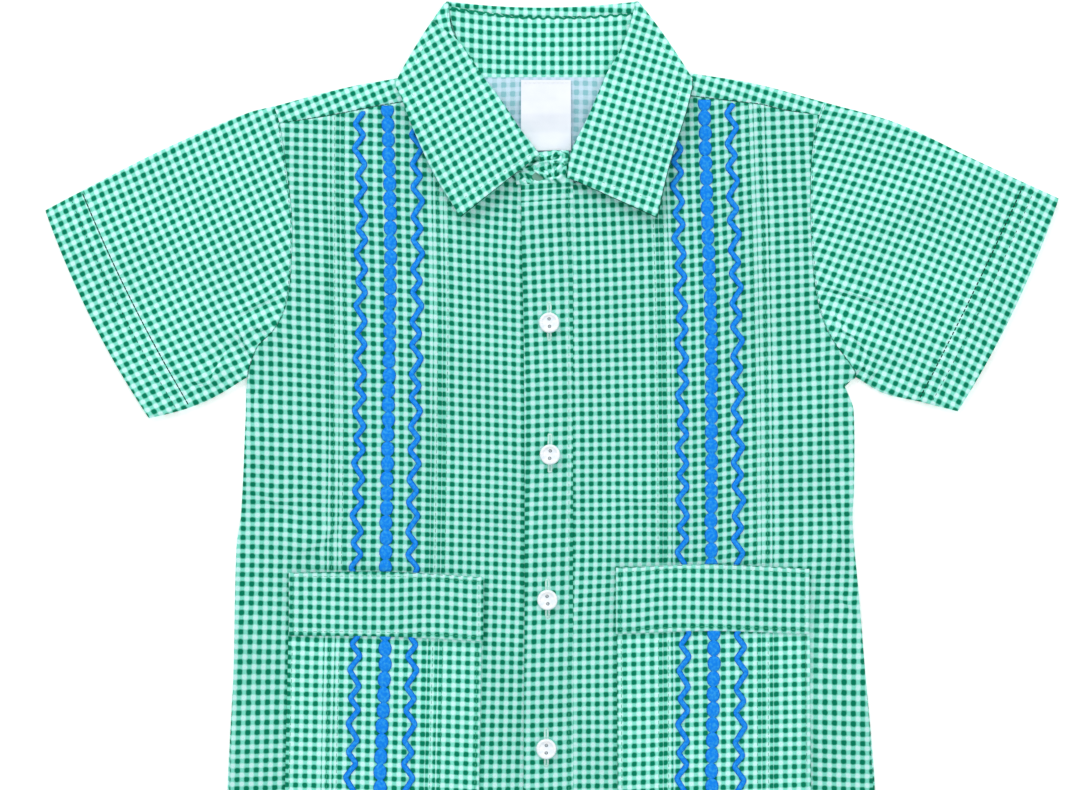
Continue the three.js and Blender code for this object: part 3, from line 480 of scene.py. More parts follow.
class Graph:
    """A material's nodes, added one call at a time."""

    def __init__(self, name, **shader):
        self.material = bpy.data.materials.new(name)
        self.material.use_nodes = True
        self.tree = self.material.node_tree
        self.shader = self.tree.nodes["Principled BSDF"]
        for key, value in shader.items():
            self.shader.inputs[key.replace("_", " ")].default_value = value
        self.material.diffuse_color = (0.5, 0.5, 0.5, 1)

    def add(self, kind, inputs=(), **settings):
        node = self.tree.nodes.new(kind)
        for key, value in settings.items():
            setattr(node, key, value)
        for key, value in dict(inputs).items():
            self.put(node.inputs[key], value)
        return node

    def put(self, socket, value):
        if isinstance(value, bpy.types.NodeSocket):
            self.tree.links.new(value, socket)
        else:
            socket.default_value = value

    def math(self, operation, a, b=0.0):
        return self.add("ShaderNodeMath", {0: a, 1: b}, operation=operation).outputs[0]

    def cloth_place(self):
        return self.add("ShaderNodeUVMap", uv_map="Cloth").outputs["UV"]

    def axes(self, vector):
        return self.add("ShaderNodeSeparateXYZ", {0: vector}).outputs

    def toned(self, colour, tone):
        """A colour times a grey tone."""
        grey = self.add("ShaderNodeCombineColor", {0: tone, 1: tone, 2: tone}).outputs[0]
        return self.mix(1.0, colour, grey, "MULTIPLY")

    def vector(self, operation, a, b):
        return self.add("ShaderNodeVectorMath", {0: a, 1: b}, operation=operation).outputs["Vector"]

    def noise(self, place, scale, detail=2.0):
        inputs = {"Vector": place, "Scale": scale, "Detail": detail}
        return self.add("ShaderNodeTexNoise", inputs).outputs

    def ranged(self, value, low, high, to_low, to_high, way="LINEAR"):
        inputs = {"Value": value, "From Min": low, "From Max": high, "To Min": to_low, "To Max": to_high}
        return self.add("ShaderNodeMapRange", inputs, interpolation_type=way).outputs["Result"]

    def mix(self, factor, a, b, way="MIX"):
        node = self.add("ShaderNodeMix", data_type="RGBA", blend_type=way)
        for name, value in (("Factor_Float", factor), ("A_Color", a), ("B_Color", b)):
            self.put(next(s for s in node.inputs if s.identifier == name), value)
        return next(s for s in node.outputs if s.identifier == "Result_Color")

    def bump(self, height, distance, strength, normal=None):
        inputs = {"Height": height, "Distance": distance, "Strength": strength}
        if normal is not None:
            inputs["Normal"] = normal
        return self.add("ShaderNodeBump", inputs).outputs["Normal"]

    def finished(self, colour, normal=None):
        """The material, once its colour and bumps are given."""
        self.put(self.shader.inputs["Base Color"], colour)
        if normal is not None:
            self.put(self.shader.inputs["Normal"], normal)
        return self.material


def gingham(name, light, middle, dark, bleed, tone, **shader):
    """A printed micro check: dark squares, with pale ones at the opposite crossings, and a plain weave."""
    half = 0.555  # share of a repeat that each coloured stripe takes
    thread = 0.00042
    g = Graph(name, **shader)
    place = g.cloth_place()
    wander = g.vector("SUBTRACT", g.noise(place, 700.0)["Color"], (0.5, 0.5, 0.5))
    printed = g.vector("ADD", place, g.vector("MULTIPLY", wander, (0.0005, 0.0005, 0)))
    counted = g.axes(g.vector("MULTIPLY", printed, (1000 / CHECK, 1000 / CHECK, 0)))
    stripes = []
    for axis in (counted["X"], counted["Y"]):
        away = g.math("MULTIPLY", g.math("ABSOLUTE", g.math("SUBTRACT", g.math("FRACT", axis), 0.5)), 2.0)
        stripes.append(g.ranged(away, half - bleed, half + bleed, 1, 0, "SMOOTHSTEP"))
    bare = [g.math("SUBTRACT", 1.0, stripe) for stripe in stripes]
    deep = g.ranged(g.math("MULTIPLY", *stripes), 0.14, 0.74, 0, 1, "SMOOTHSTEP")
    pale = g.ranged(g.math("MULTIPLY", *bare), 0.08, 0.65, 0, 1, "SMOOTHSTEP")
    colour = g.mix(pale, g.mix(deep, middle, dark), light)
    # tone darkens the whole print; below 1 it is painted shade.
    ink_and_painted_shade = g.ranged(g.noise(place, 2600.0, 1.0)["Fac"], 0.3, 0.7, 0.94 * tone, 1.04 * tone)
    age = g.ranged(g.noise(place, 26.0)["Fac"], 0.3, 0.7, 0.96, 1.03)
    ways = g.axes(g.vector("MULTIPLY", place, (2 * math.pi / thread, 2 * math.pi / thread, 0)))
    weave = g.bump(g.math("MULTIPLY", g.math("SINE", ways["X"]), g.math("SINE", ways["Y"])), 0.00006, 0.5)
    slubs = g.noise(place, 900.0, 3.0)["Fac"]
    return g.finished(g.toned(colour, g.math("MULTIPLY", ink_and_painted_shade, age)), g.bump(slubs, 0.00022, 0.35, weave))


def satin_thread(name, base, lit, shade, pitch, **shader):
    """Closely laid embroidery thread, with a ridge for each strand, painted highlight patches and painted
    shade.
    """
    g = Graph(name, **shader)
    place = g.cloth_place()
    axes = g.axes(place)
    skew = g.math("ADD", axes["Y"], g.math("MULTIPLY", axes["X"], 0.22))
    strand = g.math("SINE", g.math("MULTIPLY", skew, 2 * math.pi / pitch))
    # Noise patches in the lit colour are painted highlights.
    highlight_patches = g.noise(place, 750.0, 2.0)["Fac"]
    base_and_painted_highlights = g.mix(g.ranged(highlight_patches, 0.44, 0.68, 0, 0.9), base, lit)
    # Painted shade in the grooves between the strands.
    between = g.ranged(strand, -1, -0.2, 0.3, 0, "SMOOTHSTEP")
    # Painted shade on the sides that tilt away from straight up.
    facing = g.axes(g.add("ShaderNodeNewGeometry").outputs["Normal"])["Z"]
    painted_side_shade = g.ranged(facing, 0.45, 0.95, 0.9, 0, "SMOOTHSTEP")
    return g.finished(g.mix(painted_side_shade, g.mix(between, base_and_painted_highlights, shade), shade), g.bump(strand, 0.00012, 0.7))


def plain_thread(name, colour, **shader):
    """Twisted sewing thread, painted darker in the grooves of its twist and lighter on its ridges, as
    painted shade and highlight.
    """
    twist = 0.0006
    g = Graph(name, **shader)
    axes = g.axes(g.cloth_place())
    turns = g.math("SINE", g.math("MULTIPLY", g.math("ADD", axes["X"], axes["Y"]), 2 * math.pi / twist))
    return g.finished(g.toned(colour, g.ranged(turns, -1, 1, 0.85, 1.08)), g.bump(turns, 0.00005, 0.6))


def pearl(name):
    """Moulded pearly plastic with faint swirls."""
    g = Graph(name, Roughness=0.22, Coat_Weight=0.5, Coat_Roughness=0.12, Specular_IOR_Level=0.5)
    place = g.add("ShaderNodeTexCoord").outputs["Object"]
    swirl = g.noise(g.vector("MULTIPLY", place, (1, 2.2, 1)), 420.0, 4.0)["Fac"]
    colour = g.mix(g.ranged(swirl, 0.35, 0.68, 0, 1), srgb(253, 254, 255), srgb(226, 240, 250))
    return g.finished(colour, g.bump(swirl, 0.00005, 0.2))


def ribbon(name):
    """Close satin ribbon with fine ribs across it."""
    rib = 0.0005
    g = Graph(name, Roughness=0.55, Sheen_Weight=0.15, Specular_IOR_Level=0.3)
    place = g.cloth_place()
    ribs = g.math("SINE", g.math("MULTIPLY", g.axes(place)["Y"], 2 * math.pi / rib))
    blotch = g.noise(place, 90.0)["Fac"]
    colour = g.mix(g.ranged(blotch, 0.3, 0.7, 0, 1), srgb(242, 247, 255), srgb(234, 240, 251))
    return g.finished(colour, g.bump(ribs, 0.00005, 0.5))


CLOTH_SHADER = {"Roughness": 0.9, "Sheen_Weight": 0.04, "Sheen_Roughness": 0.45, "Specular_IOR_Level": 0.06}
PRINT_TONES = (srgb(207, 254, 252), srgb(130, 231, 209), srgb(0, 126, 93))
BLEED = 0.42
# The same print at three tones, darkest on the fronts, back and placket, then on the pocket bands: the two
# darker tones are painted shade.
PRINT = gingham("gingham", *PRINT_TONES, BLEED, 1.0, **CLOTH_SHADER)
BAND_PRINT_PAINTED_SHADE = gingham("gingham_bands_painted_shade", *PRINT_TONES, BLEED, 0.93, **CLOTH_SHADER)
BODY_PRINT_PAINTED_SHADE = gingham("gingham_body_painted_shade", *PRINT_TONES, BLEED, 0.9, **CLOTH_SHADER)
WRONG_TONES = (srgb(206, 232, 250), srgb(188, 222, 236), srgb(142, 198, 208))
WRONG_SIDE = gingham("gingham_wrong_side", *WRONG_TONES, 0.34, 1.0, **CLOTH_SHADER)
# One flat grey-green for the facing under the neck bunch, partly its cloth and partly painted shade.
FACING_SHADE_TONE = srgb(112, 164, 148)
FACING_PAINTED_SHADE = gingham("facing_painted_shade", FACING_SHADE_TONE, FACING_SHADE_TONE, FACING_SHADE_TONE, 0.24, 1.0, **CLOTH_SHADER)
# Each satin thread's second colour is painted highlight and its third is painted shade.
BLUE_THREAD = satin_thread(
    "embroidery_thread", srgb(0, 142, 255), srgb(56, 180, 255), srgb(0, 70, 200), 0.0005,
    Roughness=0.55, Specular_IOR_Level=0.15,
)
PALE_THREAD = satin_thread(
    "buttonhole_thread", srgb(204, 248, 240), srgb(224, 254, 250), srgb(126, 206, 182), 0.0006,
    Roughness=0.5, Specular_IOR_Level=0.3, Sheen_Weight=0.1,
)
GREEN_THREAD = plain_thread("sewing_thread", srgb(70, 178, 142), Roughness=0.6, Specular_IOR_Level=0.25)
# Dark thread: real stitches at seams, and painted shadow along the collar's and pocket bands' edges and, in
# part, at the sleeves' hem folds.
DARK_THREAD_AND_SHADOW = plain_thread("dark_thread_and_painted_shadow", srgb(7, 70, 54), Roughness=0.6, Specular_IOR_Level=0.2)
SEAM_THREAD = plain_thread("seam_thread", srgb(8, 140, 106), Roughness=0.8, Specular_IOR_Level=0.1)
WHITE_THREAD = plain_thread("button_thread", srgb(240, 245, 247), Roughness=0.6, Specular_IOR_Level=0.25)
PEARL = pearl("pearly_button")
RIBBON = ribbon("label_ribbon")


def world(points):
    """Places in the row frame, still in millimetres."""
    points = np.asarray(points, float)
    return np.stack([points[..., 0] - MIDDLE_X, MIDDLE_DOWN - points[..., 1], points[..., 2]], -1)


def unit(vectors):
    return vectors / np.maximum(np.linalg.norm(vectors, axis=-1, keepdims=True), 1e-9)


def build(name, places, quads, cloth, materials, which=None, angle=55):
    """A mesh of quads, smooth but for its sharp edges. places are millimetres in the row frame."""
    corners = places[quads]
    volume = (corners[:, 0] * np.cross(corners[:, 1], corners[:, 2])).sum()
    volume += (corners[:, 0] * np.cross(corners[:, 2], corners[:, 3])).sum()
    if volume < 0:
        quads, cloth = quads[:, ::-1], cloth[:, ::-1]
    mesh = bpy.data.meshes.new(name)
    mesh.vertices.add(len(places))
    mesh.vertices.foreach_set("co", (places / 1000).astype(np.float32).ravel())
    mesh.loops.add(quads.size)
    mesh.loops.foreach_set("vertex_index", np.ascontiguousarray(quads, np.int32).ravel())
    mesh.polygons.add(len(quads))
    mesh.polygons.foreach_set("loop_start", np.arange(0, quads.size, 4, dtype=np.int32))
    mesh.update(calc_edges=True)
    layer = mesh.uv_layers.new(name="Cloth")
    layer.data.foreach_set("uv", (np.ascontiguousarray(cloth) / 1000).astype(np.float32).ravel())
    for material in materials:
        mesh.materials.append(material)
    if which is not None:
        mesh.polygons.foreach_set("material_index", which.astype(np.int32))
    mesh.polygons.foreach_set("use_smooth", np.ones(len(quads), bool))
    mesh.set_sharp_from_angle(angle=math.radians(angle))
    mesh.validate()
    piece = bpy.data.objects.new(name, mesh)
    bpy.context.scene.collection.objects.link(piece)
    return piece


def grid_normals(places, tube):
    """Upward normals of a grid whose rows run down the garment and whose columns run to the right."""
    if tube:
        wide = np.concatenate([places[:, -1:], places, places[:, :1]], 1)
        across = wide[:, 2:] - wide[:, :-2]
    else:
        across = np.gradient(places, axis=1)
    along = np.gradient(places, axis=0)
    return unit(np.cross(along, across))


def shell(name, points, cloth, thickness, outside, lining=None, tube=False, down_side=False, keep=None):
    """A piece of cloth: a grid of points on its outer face, and its inner face that far behind it.

    cloth holds each point's place on the uncut cloth, and has one more column than a tube's points. The
    grid's outer face looks down where down_side is true. keep says which of its quads there are.
    """
    places = world(points)
    rows, columns = places.shape[:2]
    normals = grid_normals(places, tube) * (-1 if down_side else 1)
    behind = places - normals * np.broadcast_to(np.asarray(thickness, float), (rows, columns))[..., None]
    spans = columns if tube else columns - 1
    r, c = np.mgrid[0 : rows - 1, 0:spans]
    if keep is not None:
        r, c = r[keep], c[keep]
    r, c = r.ravel(), c.ravel()

    def index(row, column):
        return row * columns + column % columns

    def spot(row, column):
        return row * cloth.shape[1] + column

    ring = ((r, c), (r + 1, c), (r + 1, c + 1), (r, c + 1))
    front = np.stack([index(*corner) for corner in ring], 1)
    front_cloth = cloth.reshape(-1, 2)[np.stack([spot(*corner) for corner in ring], 1)]
    count = rows * columns
    # The rim joins the two faces along each edge that only one quad has.
    starts = front.ravel()
    ends = np.roll(front, -1, axis=1).ravel()
    start_cloth = front_cloth.reshape(-1, 2)
    end_cloth = np.roll(front_cloth, -1, axis=1).reshape(-1, 2)
    keys = np.minimum(starts, ends) * count + np.maximum(starts, ends)
    _, which_key, uses = np.unique(keys, return_inverse=True, return_counts=True)
    lone = uses[which_key] == 1
    a, b = starts[lone], ends[lone]
    rim = np.stack([b, a, a + count, b + count], 1)
    a_cloth, b_cloth = start_cloth[lone], end_cloth[lone]
    rim_cloth = np.stack([b_cloth, a_cloth, a_cloth, b_cloth], 1)
    quads = np.concatenate([front, front[:, ::-1] + count, rim])
    all_cloth = np.concatenate([front_cloth, front_cloth[:, ::-1], rim_cloth])
    which = np.zeros(len(quads), int)
    if lining is not None:
        which[len(front) : 2 * len(front)] = 1
    materials = [outside] + ([lining] if lining else [])
    both = np.concatenate([places.reshape(-1, 3), behind.reshape(-1, 3)])
    piece = build(name, both, quads, all_cloth, materials, which)
    return piece, SimpleNamespace(places=places, normals=normals)


def sampled(array, r, c):
    """The values of a grid at places between its rows and columns."""
    r = np.clip(np.asarray(r, float), 0, array.shape[0] - 1)
    c = np.clip(np.asarray(c, float), 0, array.shape[1] - 1)
    r0, c0 = np.minimum(r.astype(int), array.shape[0] - 2), np.minimum(c.astype(int), array.shape[1] - 2)
    tr, tc = (r - r0)[..., None], (c - c0)[..., None]
    top = lerp(array[r0, c0], array[r0, c0 + 1], tc)
    bottom = lerp(array[r0 + 1, c0], array[r0 + 1, c0 + 1], tc)
    return lerp(top, bottom, tr)


# The stitches of each kind of thread, and the size of a plain one.
SEWING = {"green": [], "seam": [], "dark": [], "white": []}
STITCH_LENGTH = 1.75
STITCH_WIDTH = 0.3


def sew(kind, face, r, c, pitch=2.3, length=STITCH_LENGTH, width=STITCH_WIDTH, rise=0.12):
    """Adds a line of stitches on a piece's face, along places between the rows and columns of its grid."""
    r, c = np.broadcast_arrays(r, c)
    places, normals = sampled(face.places, r, c), unit(sampled(face.normals, r, c))
    along = travelled(places)
    count = max(int(along[-1] / pitch), 1)
    middles = (np.arange(count) + 0.5) * along[-1] / count

    def at(distance, values):
        return np.stack([np.interp(distance, along, values[:, k]) for k in range(3)], 1)

    start, end = at(middles - length / 2, places), at(middles + length / 2, places)
    normal = unit(at(middles, normals))
    clear = 0.03  # how far a stitch's middle stands off the cloth
    SEWING[kind].append({
        "middle": (start + end) / 2 + normal * clear,
        "along": unit(end - start),
        "normal": normal,
        "length": np.full(count, length),
        "width": np.full(count, width),
        "rise": np.full(count, rise),
    })


def ring_quads(rows, sides):
    """The quads of a closed tube of rings that follow one another, and of the caps on its ends."""
    r, k = (index.ravel() for index in np.mgrid[0 : rows - 1, 0:sides])
    after = (k + 1) % sides
    tube = np.stack([r * sides + k, (r + 1) * sides + k, (r + 1) * sides + after, r * sides + after], 1)
    cap = np.array([[j, j + 1, sides - 2 - j, sides - 1 - j] for j in range(sides // 2 - 1)])
    return np.concatenate([tube, cap, (cap + (rows - 1) * sides)[:, ::-1]])


def stitch_mesh(name, stitches, material):
    """All the stitches of one thread as one mesh: each is a short bar with narrowed ends."""
    joined = {key: np.concatenate([one[key] for one in stitches]) for key in stitches[0]}
    normal = joined["normal"]
    across = unit(np.cross(normal, joined["along"]))
    stations = ((-0.5, 0.35), (-0.3, 1), (0.3, 1), (0.5, 0.35))
    sides = ((-0.5, 0), (0, 1), (0.5, 0), (0, -0.6))
    rings, ring_cloth = [], []
    for share, size in stations:
        for wide, high in sides:
            rings.append(
                joined["middle"]
                + joined["along"] * (joined["length"] * share)[:, None]
                + across * (joined["width"] * wide * size)[:, None]
                + normal * (joined["rise"] * high * size)[:, None]
            )
            ring_cloth.append((share * STITCH_LENGTH + wide * STITCH_WIDTH, share * STITCH_LENGTH))
    places = np.stack(rings, 1)
    faces = ring_quads(len(stations), len(sides))
    quads = (faces[None] + (np.arange(len(places)) * len(rings))[:, None, None]).reshape(-1, 4)
    cloth = np.broadcast_to(np.array(ring_cloth)[faces], (len(places), *faces.shape, 2)).reshape(-1, 4, 2)
    return build(name, places.reshape(-1, 3), quads, cloth, [material], angle=80)


def satin(line, half, height, lift, sides):
    """A raised band of satin stitch along a line on the cloth: its points, quads and cloth places."""
    along = np.gradient(line[:, :2], axis=0)
    along = along / np.linalg.norm(along, axis=1, keepdims=True)
    across = np.stack([-along[:, 1], along[:, 0]], 1)
    angles = np.linspace(0, math.pi, sides)
    out, up = -np.cos(angles), np.sin(angles) ** 0.75
    points = np.empty((len(line), sides, 3))
    points[..., :2] = line[:, None, :2] + across[:, None] * (half[:, None] * out)[..., None]
    points[..., 2] = line[:, None, 2] + lift + height[:, None] * up
    cloth = np.stack(np.broadcast_arrays(half[:, None] * out, travelled(line[:, :2])[:, None]), -1)
    quads = ring_quads(len(line), sides)
    return points.reshape(-1, 3), quads, cloth.reshape(-1, 2)[quads]


def satin_piece(name, bands, material):
    """Several satin bands as one mesh."""
    points, quads, cloth, count = [], [], [], 0
    for band_points, band_quads, band_cloth in bands:
        points.append(world(band_points))
        quads.append(band_quads + count)
        cloth.append(band_cloth)
        count += len(band_points)
    points, quads, cloth = (np.concatenate(parts) for parts in (points, quads, cloth))
    return build(name, points, quads, cloth, [material], angle=70)


def dress(piece, nodes):
    """Rides a piece on the part, and hides the part's nodes that it stands for."""
    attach(piece, "root")
    if nodes:
        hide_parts(*nodes)


# Sections of a pintuck, pressed towards the side: away from the middle, up, and the cloth taken in so far.
TUCK = table(
    "away up taken",
    (-1.2, 0, 0), (-0.7, 0.07, 0.1), (-0.1, 0.17, 0.25), (0.5, 0.25, 0.35), (0.95, 0.27, 0.4),
    (1.15, 0.2, 0.55), (1.1, 0.1, 1.5), (1.35, 0, TUCK_CLOTH),
)


def tucked_columns(low, high, tucks, sign, pitch):
    """Columns from low to high, with a pintuck's sections at each tuck: x, height and cloth place."""
    plain = np.linspace(low, high, int(round((high - low) / pitch)) + 1)
    clear = 1.7  # from a tuck's line to the nearest plain column
    plain = plain[np.all(np.abs(plain[:, None] - np.array(tucks)) > clear, axis=1)]
    passed = (np.abs(np.array(tucks))[None] < np.abs(plain)[:, None]).sum(1)
    columns = [(x, 0.0, abs(x) + TUCK_CLOTH * n) for x, n in zip(plain, passed)]
    for tuck in tucks:
        before = sum(abs(other) < abs(tuck) for other in tucks)
        for away, up, taken in zip(TUCK["away"], TUCK["up"], TUCK["taken"]):
            columns.append((tuck + sign * away, up, abs(tuck) + away + taken + TUCK_CLOTH * before))
    # The order is that of the cloth, because a tuck's edge overhangs its foot.
    columns.sort(key=lambda column: sign * column[2])
    x, up, cloth = np.array(columns).T
    return x, up, sign * cloth


def tuck_pucker(x, down, tucks):
    """Slight puckers beside the sewn tucks."""
    near = sum(bell(x - tuck, 3.2) for tuck in tucks)
    return 0.07 * near * np.sin(down * 1.05 + 0.9 * np.sin(down * 0.13 + x))


# How steeply the rows of the fronts' check fall towards the middle.
FALL = through(
    table(
        "down slope",
        (60, 0.05), (88, 0.07), (130, 0.09), (170, 0.06), (240, 0.03), (285, 0), (330, -0.04), (420, -0.02),
        (525, 0),
    ),
    "down",
    "slope",
)


def front_cloth(side, cloth_x, x, down):
    """Places on a front's cloth: its rows fall to the middle, and its columns widen out at the side."""
    _, move_x, move_down = fold_effects(x, down)
    away = np.abs(cloth_x)
    outer = smooth((away - 60) / 40)
    u = side["sign"] * (1.03 * away - 0.065 * np.maximum(away - 75, 0)) + move_x
    u += through(side["drift"], "down", "across")(down) + side["side_drift"][0] * outer
    v = down + FALL(down) * (np.abs(x) - 60) - 0.025 * np.clip(x, -70, 70) + move_down
    v += through(side["drift"], "down", "along")(down) + side["side_drift"][1] * outer
    v += side["low_tilt"] * np.clip(np.abs(x) - 20, -20, 25) * smooth((down - 245) / 20)
    # The left front is pushed aside by the bunched neck.
    pushed = part((x + 42) / 16) * (x < 0) * part((112 - down) / 28)
    return sway(u - 1.9 * pushed, v - 1.3 * pushed**2, 0.3)


# Distances from a folded edge at which there is a row or column of points.
EDGE_STEPS = np.array([0, 0.15, 0.4, 0.8, 1.3, 2.0, 3.0])
LEG_HEM = LEG_END - HEM_DEPTH


def fronts_height(curves, x, down):
    """The height of a front's upper face away from its tucks."""
    covered = smooth((down - curves.pocket_start) / 1.2) * smooth((POCKET_END + GAP - down) / 1.2)
    outer, inner = curves.pocket_outer(down), curves.pocket_inner(down)
    within = part((np.abs(x) - np.abs(inner) + 1.5) / 1.5) * part((np.abs(outer) - np.abs(x) + 1.5) / 1.5)
    under_placket = part((14 - np.abs(x)) / 3) * (down < PLACKET["end"])
    free = 1 - np.maximum(covered * within, under_placket)
    return FRONT_TOP + front_lift(x, down) + crease_height(x, down) * free


def make_front(side, curves):
    """A front with its leg. Columns of points keep to its tucks, and others follow its two edges."""
    sign = side["sign"]
    fixed_x, fixed_up, fixed_cloth = tucked_columns(*side["fixed"], side["tucks"], sign, 1.7)
    shares = np.concatenate([[0, 0.012, 0.035, 0.07], np.linspace(0.11, 1, 19)[:-1]])
    deep = np.concatenate([
        np.arange(FIRST_ROW, 130, 1.7), np.arange(130, 180, 0.9), np.arange(180, CROTCH - 1, 1.9),
        np.linspace(CROTCH, LEG_HEM - 0.8, 16), LEG_HEM + np.array([-0.4, 0, 0.4, 0.8]),
        np.linspace(LEG_HEM + 2, LEG_END - 1.2, 8), LEG_END - np.array([0.7, 0.3, 0]),
    ])
    level = np.concatenate([lerp(float(curves.top(sign * YOKE_END)), FIRST_ROW, shares), deep])
    share = np.concatenate([shares, np.zeros(len(deep))])[:, None]
    upper = np.arange(len(level))[:, None] < len(shares)  # rows that follow the seam along the top
    shift, edge, inner = (curve(level)[:, None] for curve in (curves.shift, curves.edge, curves.inner))
    outer_tie, inner_tie = fixed_x[[0, -1]] if sign < 0 else fixed_x[[-1, 0]]
    outer_steps = np.concatenate([EDGE_STEPS, np.full(20, EDGE_STEPS[-1])])
    blend = np.concatenate([np.zeros(len(EDGE_STEPS)), np.linspace(0, 1, 22)[1:-1]])
    outer_x = lerp(edge - sign * outer_steps, outer_tie + shift, blend)
    inner_share = np.linspace(0, 1, 15 if sign < 0 else 9)[1:]
    near_edge = np.concatenate([[0, 0.04, 0.1], inner_share[inner_share > 0.12]])
    inner_x = lerp(inner, inner_tie + shift, near_edge[:-1])
    blocks = [outer_x, fixed_x + shift, inner_x[:, ::-1]]
    if sign > 0:
        blocks = [inner_x, fixed_x + shift, outer_x[:, ::-1]]
    x = np.concatenate(blocks, 1)
    widths = [block.shape[1] for block in blocks]
    fixed_at = slice(widths[0], widths[0] + widths[1])
    outer_at = slice(0, widths[0]) if sign < 0 else slice(-widths[2], None)
    up = np.zeros(x.shape[1])
    up[fixed_at] = fixed_up
    top = curves.top(x)
    top[:, outer_at] = curves.top(x[0, outer_at])
    down = np.where(upper, lerp(top, FIRST_ROW, share), level[:, None])
    x[:, outer_at] += (curves.edge(down[:, outer_at]) - edge) * (1 - blend[::-sign])
    nominal = x - shift
    cloth_x = nominal + np.where(np.abs(nominal) > 80, sign * TUCK_CLOTH * len(side["tucks"]), 0)
    cloth_x[:, fixed_at] = fixed_cloth
    bare = 1 - smooth((down - curves.pocket_start) / 0.8) * smooth((POCKET_END + GAP - down) / 0.8)
    hemmed = smooth((down - LEG_HEM) / 0.8)
    z = fronts_height(curves, x, down) + HEM_RAISE * hemmed
    z += (up + tuck_pucker(nominal, down, side["tucks"])) * bare
    side_share = smooth((down - 158) / 12)
    z -= rolled(np.abs(x - curves.edge(down)), lerp(1.2, 2.2, side_share), lerp(0.5, 1.5, side_share))
    from_inner = np.abs(x - inner)
    z -= rolled(from_inner, 2.0, 1.5) * smooth((down - CROTCH) / 6)
    z -= rolled(from_inner, *SEAM_ROLL) * part((down - PLACKET["end"] - 4) / 3) * (down <= CROTCH)
    z -= rolled(down - top, *SEAM_ROLL) * upper
    z -= rolled(LEG_END - down, 1.0, 0.6)
    points, cloth = np.stack([x, down, z], -1), front_cloth(side, cloth_x, x, down)
    thickness = THIN + (DOUBLE - THIN) * hemmed
    piece, face = shell(f"cloth_front_{side['name']}", points, cloth, thickness, BODY_PRINT_PAINTED_SHADE)
    across, rows = np.arange(x.shape[1]), np.arange(len(level))
    above_hem = rows[level < LEG_HEM - 1]
    hidden = rows[(level > curves.pocket_start) & (level < POCKET_END)]
    for tuck in side["tucks"]:
        column = np.interp(tuck - sign * TUCK_SEAM, nominal[0], across)
        for first, last in ((above_hem[0] + 1, hidden[0] - 1), (hidden[-1] + 1, above_hem[-1])):
            sew("green", face, np.arange(first, last + 1), column, width=0.26)
    sew("green", face, np.interp(LEG_HEM + 0.2, level, rows), across)
    return piece


def make_yoke(side, curves):
    """The strip over the shoulder, folded along its top edge."""
    sign = side["sign"]
    xs = np.sort(sign * np.linspace(SHOULDER_END, SHOULDER_POINT + GAP, 42))
    fold_down, seam_down = curves.fold(xs), curves.seam(xs) - 0.05
    low = neck_lift(xs)
    radius = (FRONT_TOP + front_lift(xs, fold_down + 1.4) - low) / 2
    rows = [(lerp(fold_down, seam_down, share), low) for share in (1, 0.97, 0.85, 0.6, 0.35)]
    for angle in np.linspace(0, math.pi, 9):
        rows.append((fold_down + radius * (1 - math.sin(angle)), low + radius * (1 - math.cos(angle))))
    for share in (0.3, 0.45, 0.6, 0.75, 0.85, 0.93, 1):
        down = lerp(fold_down, seam_down, share)
        z = FRONT_TOP + front_lift(xs, down) + 0.12 * np.sin(share * math.pi)
        rows.append((down, z - rolled(seam_down - down, *SEAM_ROLL)))
    points = np.array([np.stack([xs, down, z], -1) for down, z in rows])
    # The outer end follows the armhole.
    to_edge = curves.edge(points[..., 1]) - sign * SHOULDER_END
    points[..., 0] += to_edge * part((np.abs(points[..., 0]) - 106) / (SHOULDER_END - 106))
    arc = travelled(points)
    u, v = turned(points[..., 0], seam_down + arc - arc[-1], side["yoke_turn"], side["yoke_turn"])
    cloth = sway(u + side["yoke_start"][0], v + side["yoke_start"][1], 0.2)
    piece, face = shell(f"cloth_yoke_{side['name']}", points, cloth, THIN, PRINT)
    seam_row, columns = len(points) - 1.25, np.arange(1, len(xs) - 1)
    sew("dark", face, seam_row, columns, pitch=2.1, length=1.7, width=0.22, rise=0.06)
    return piece


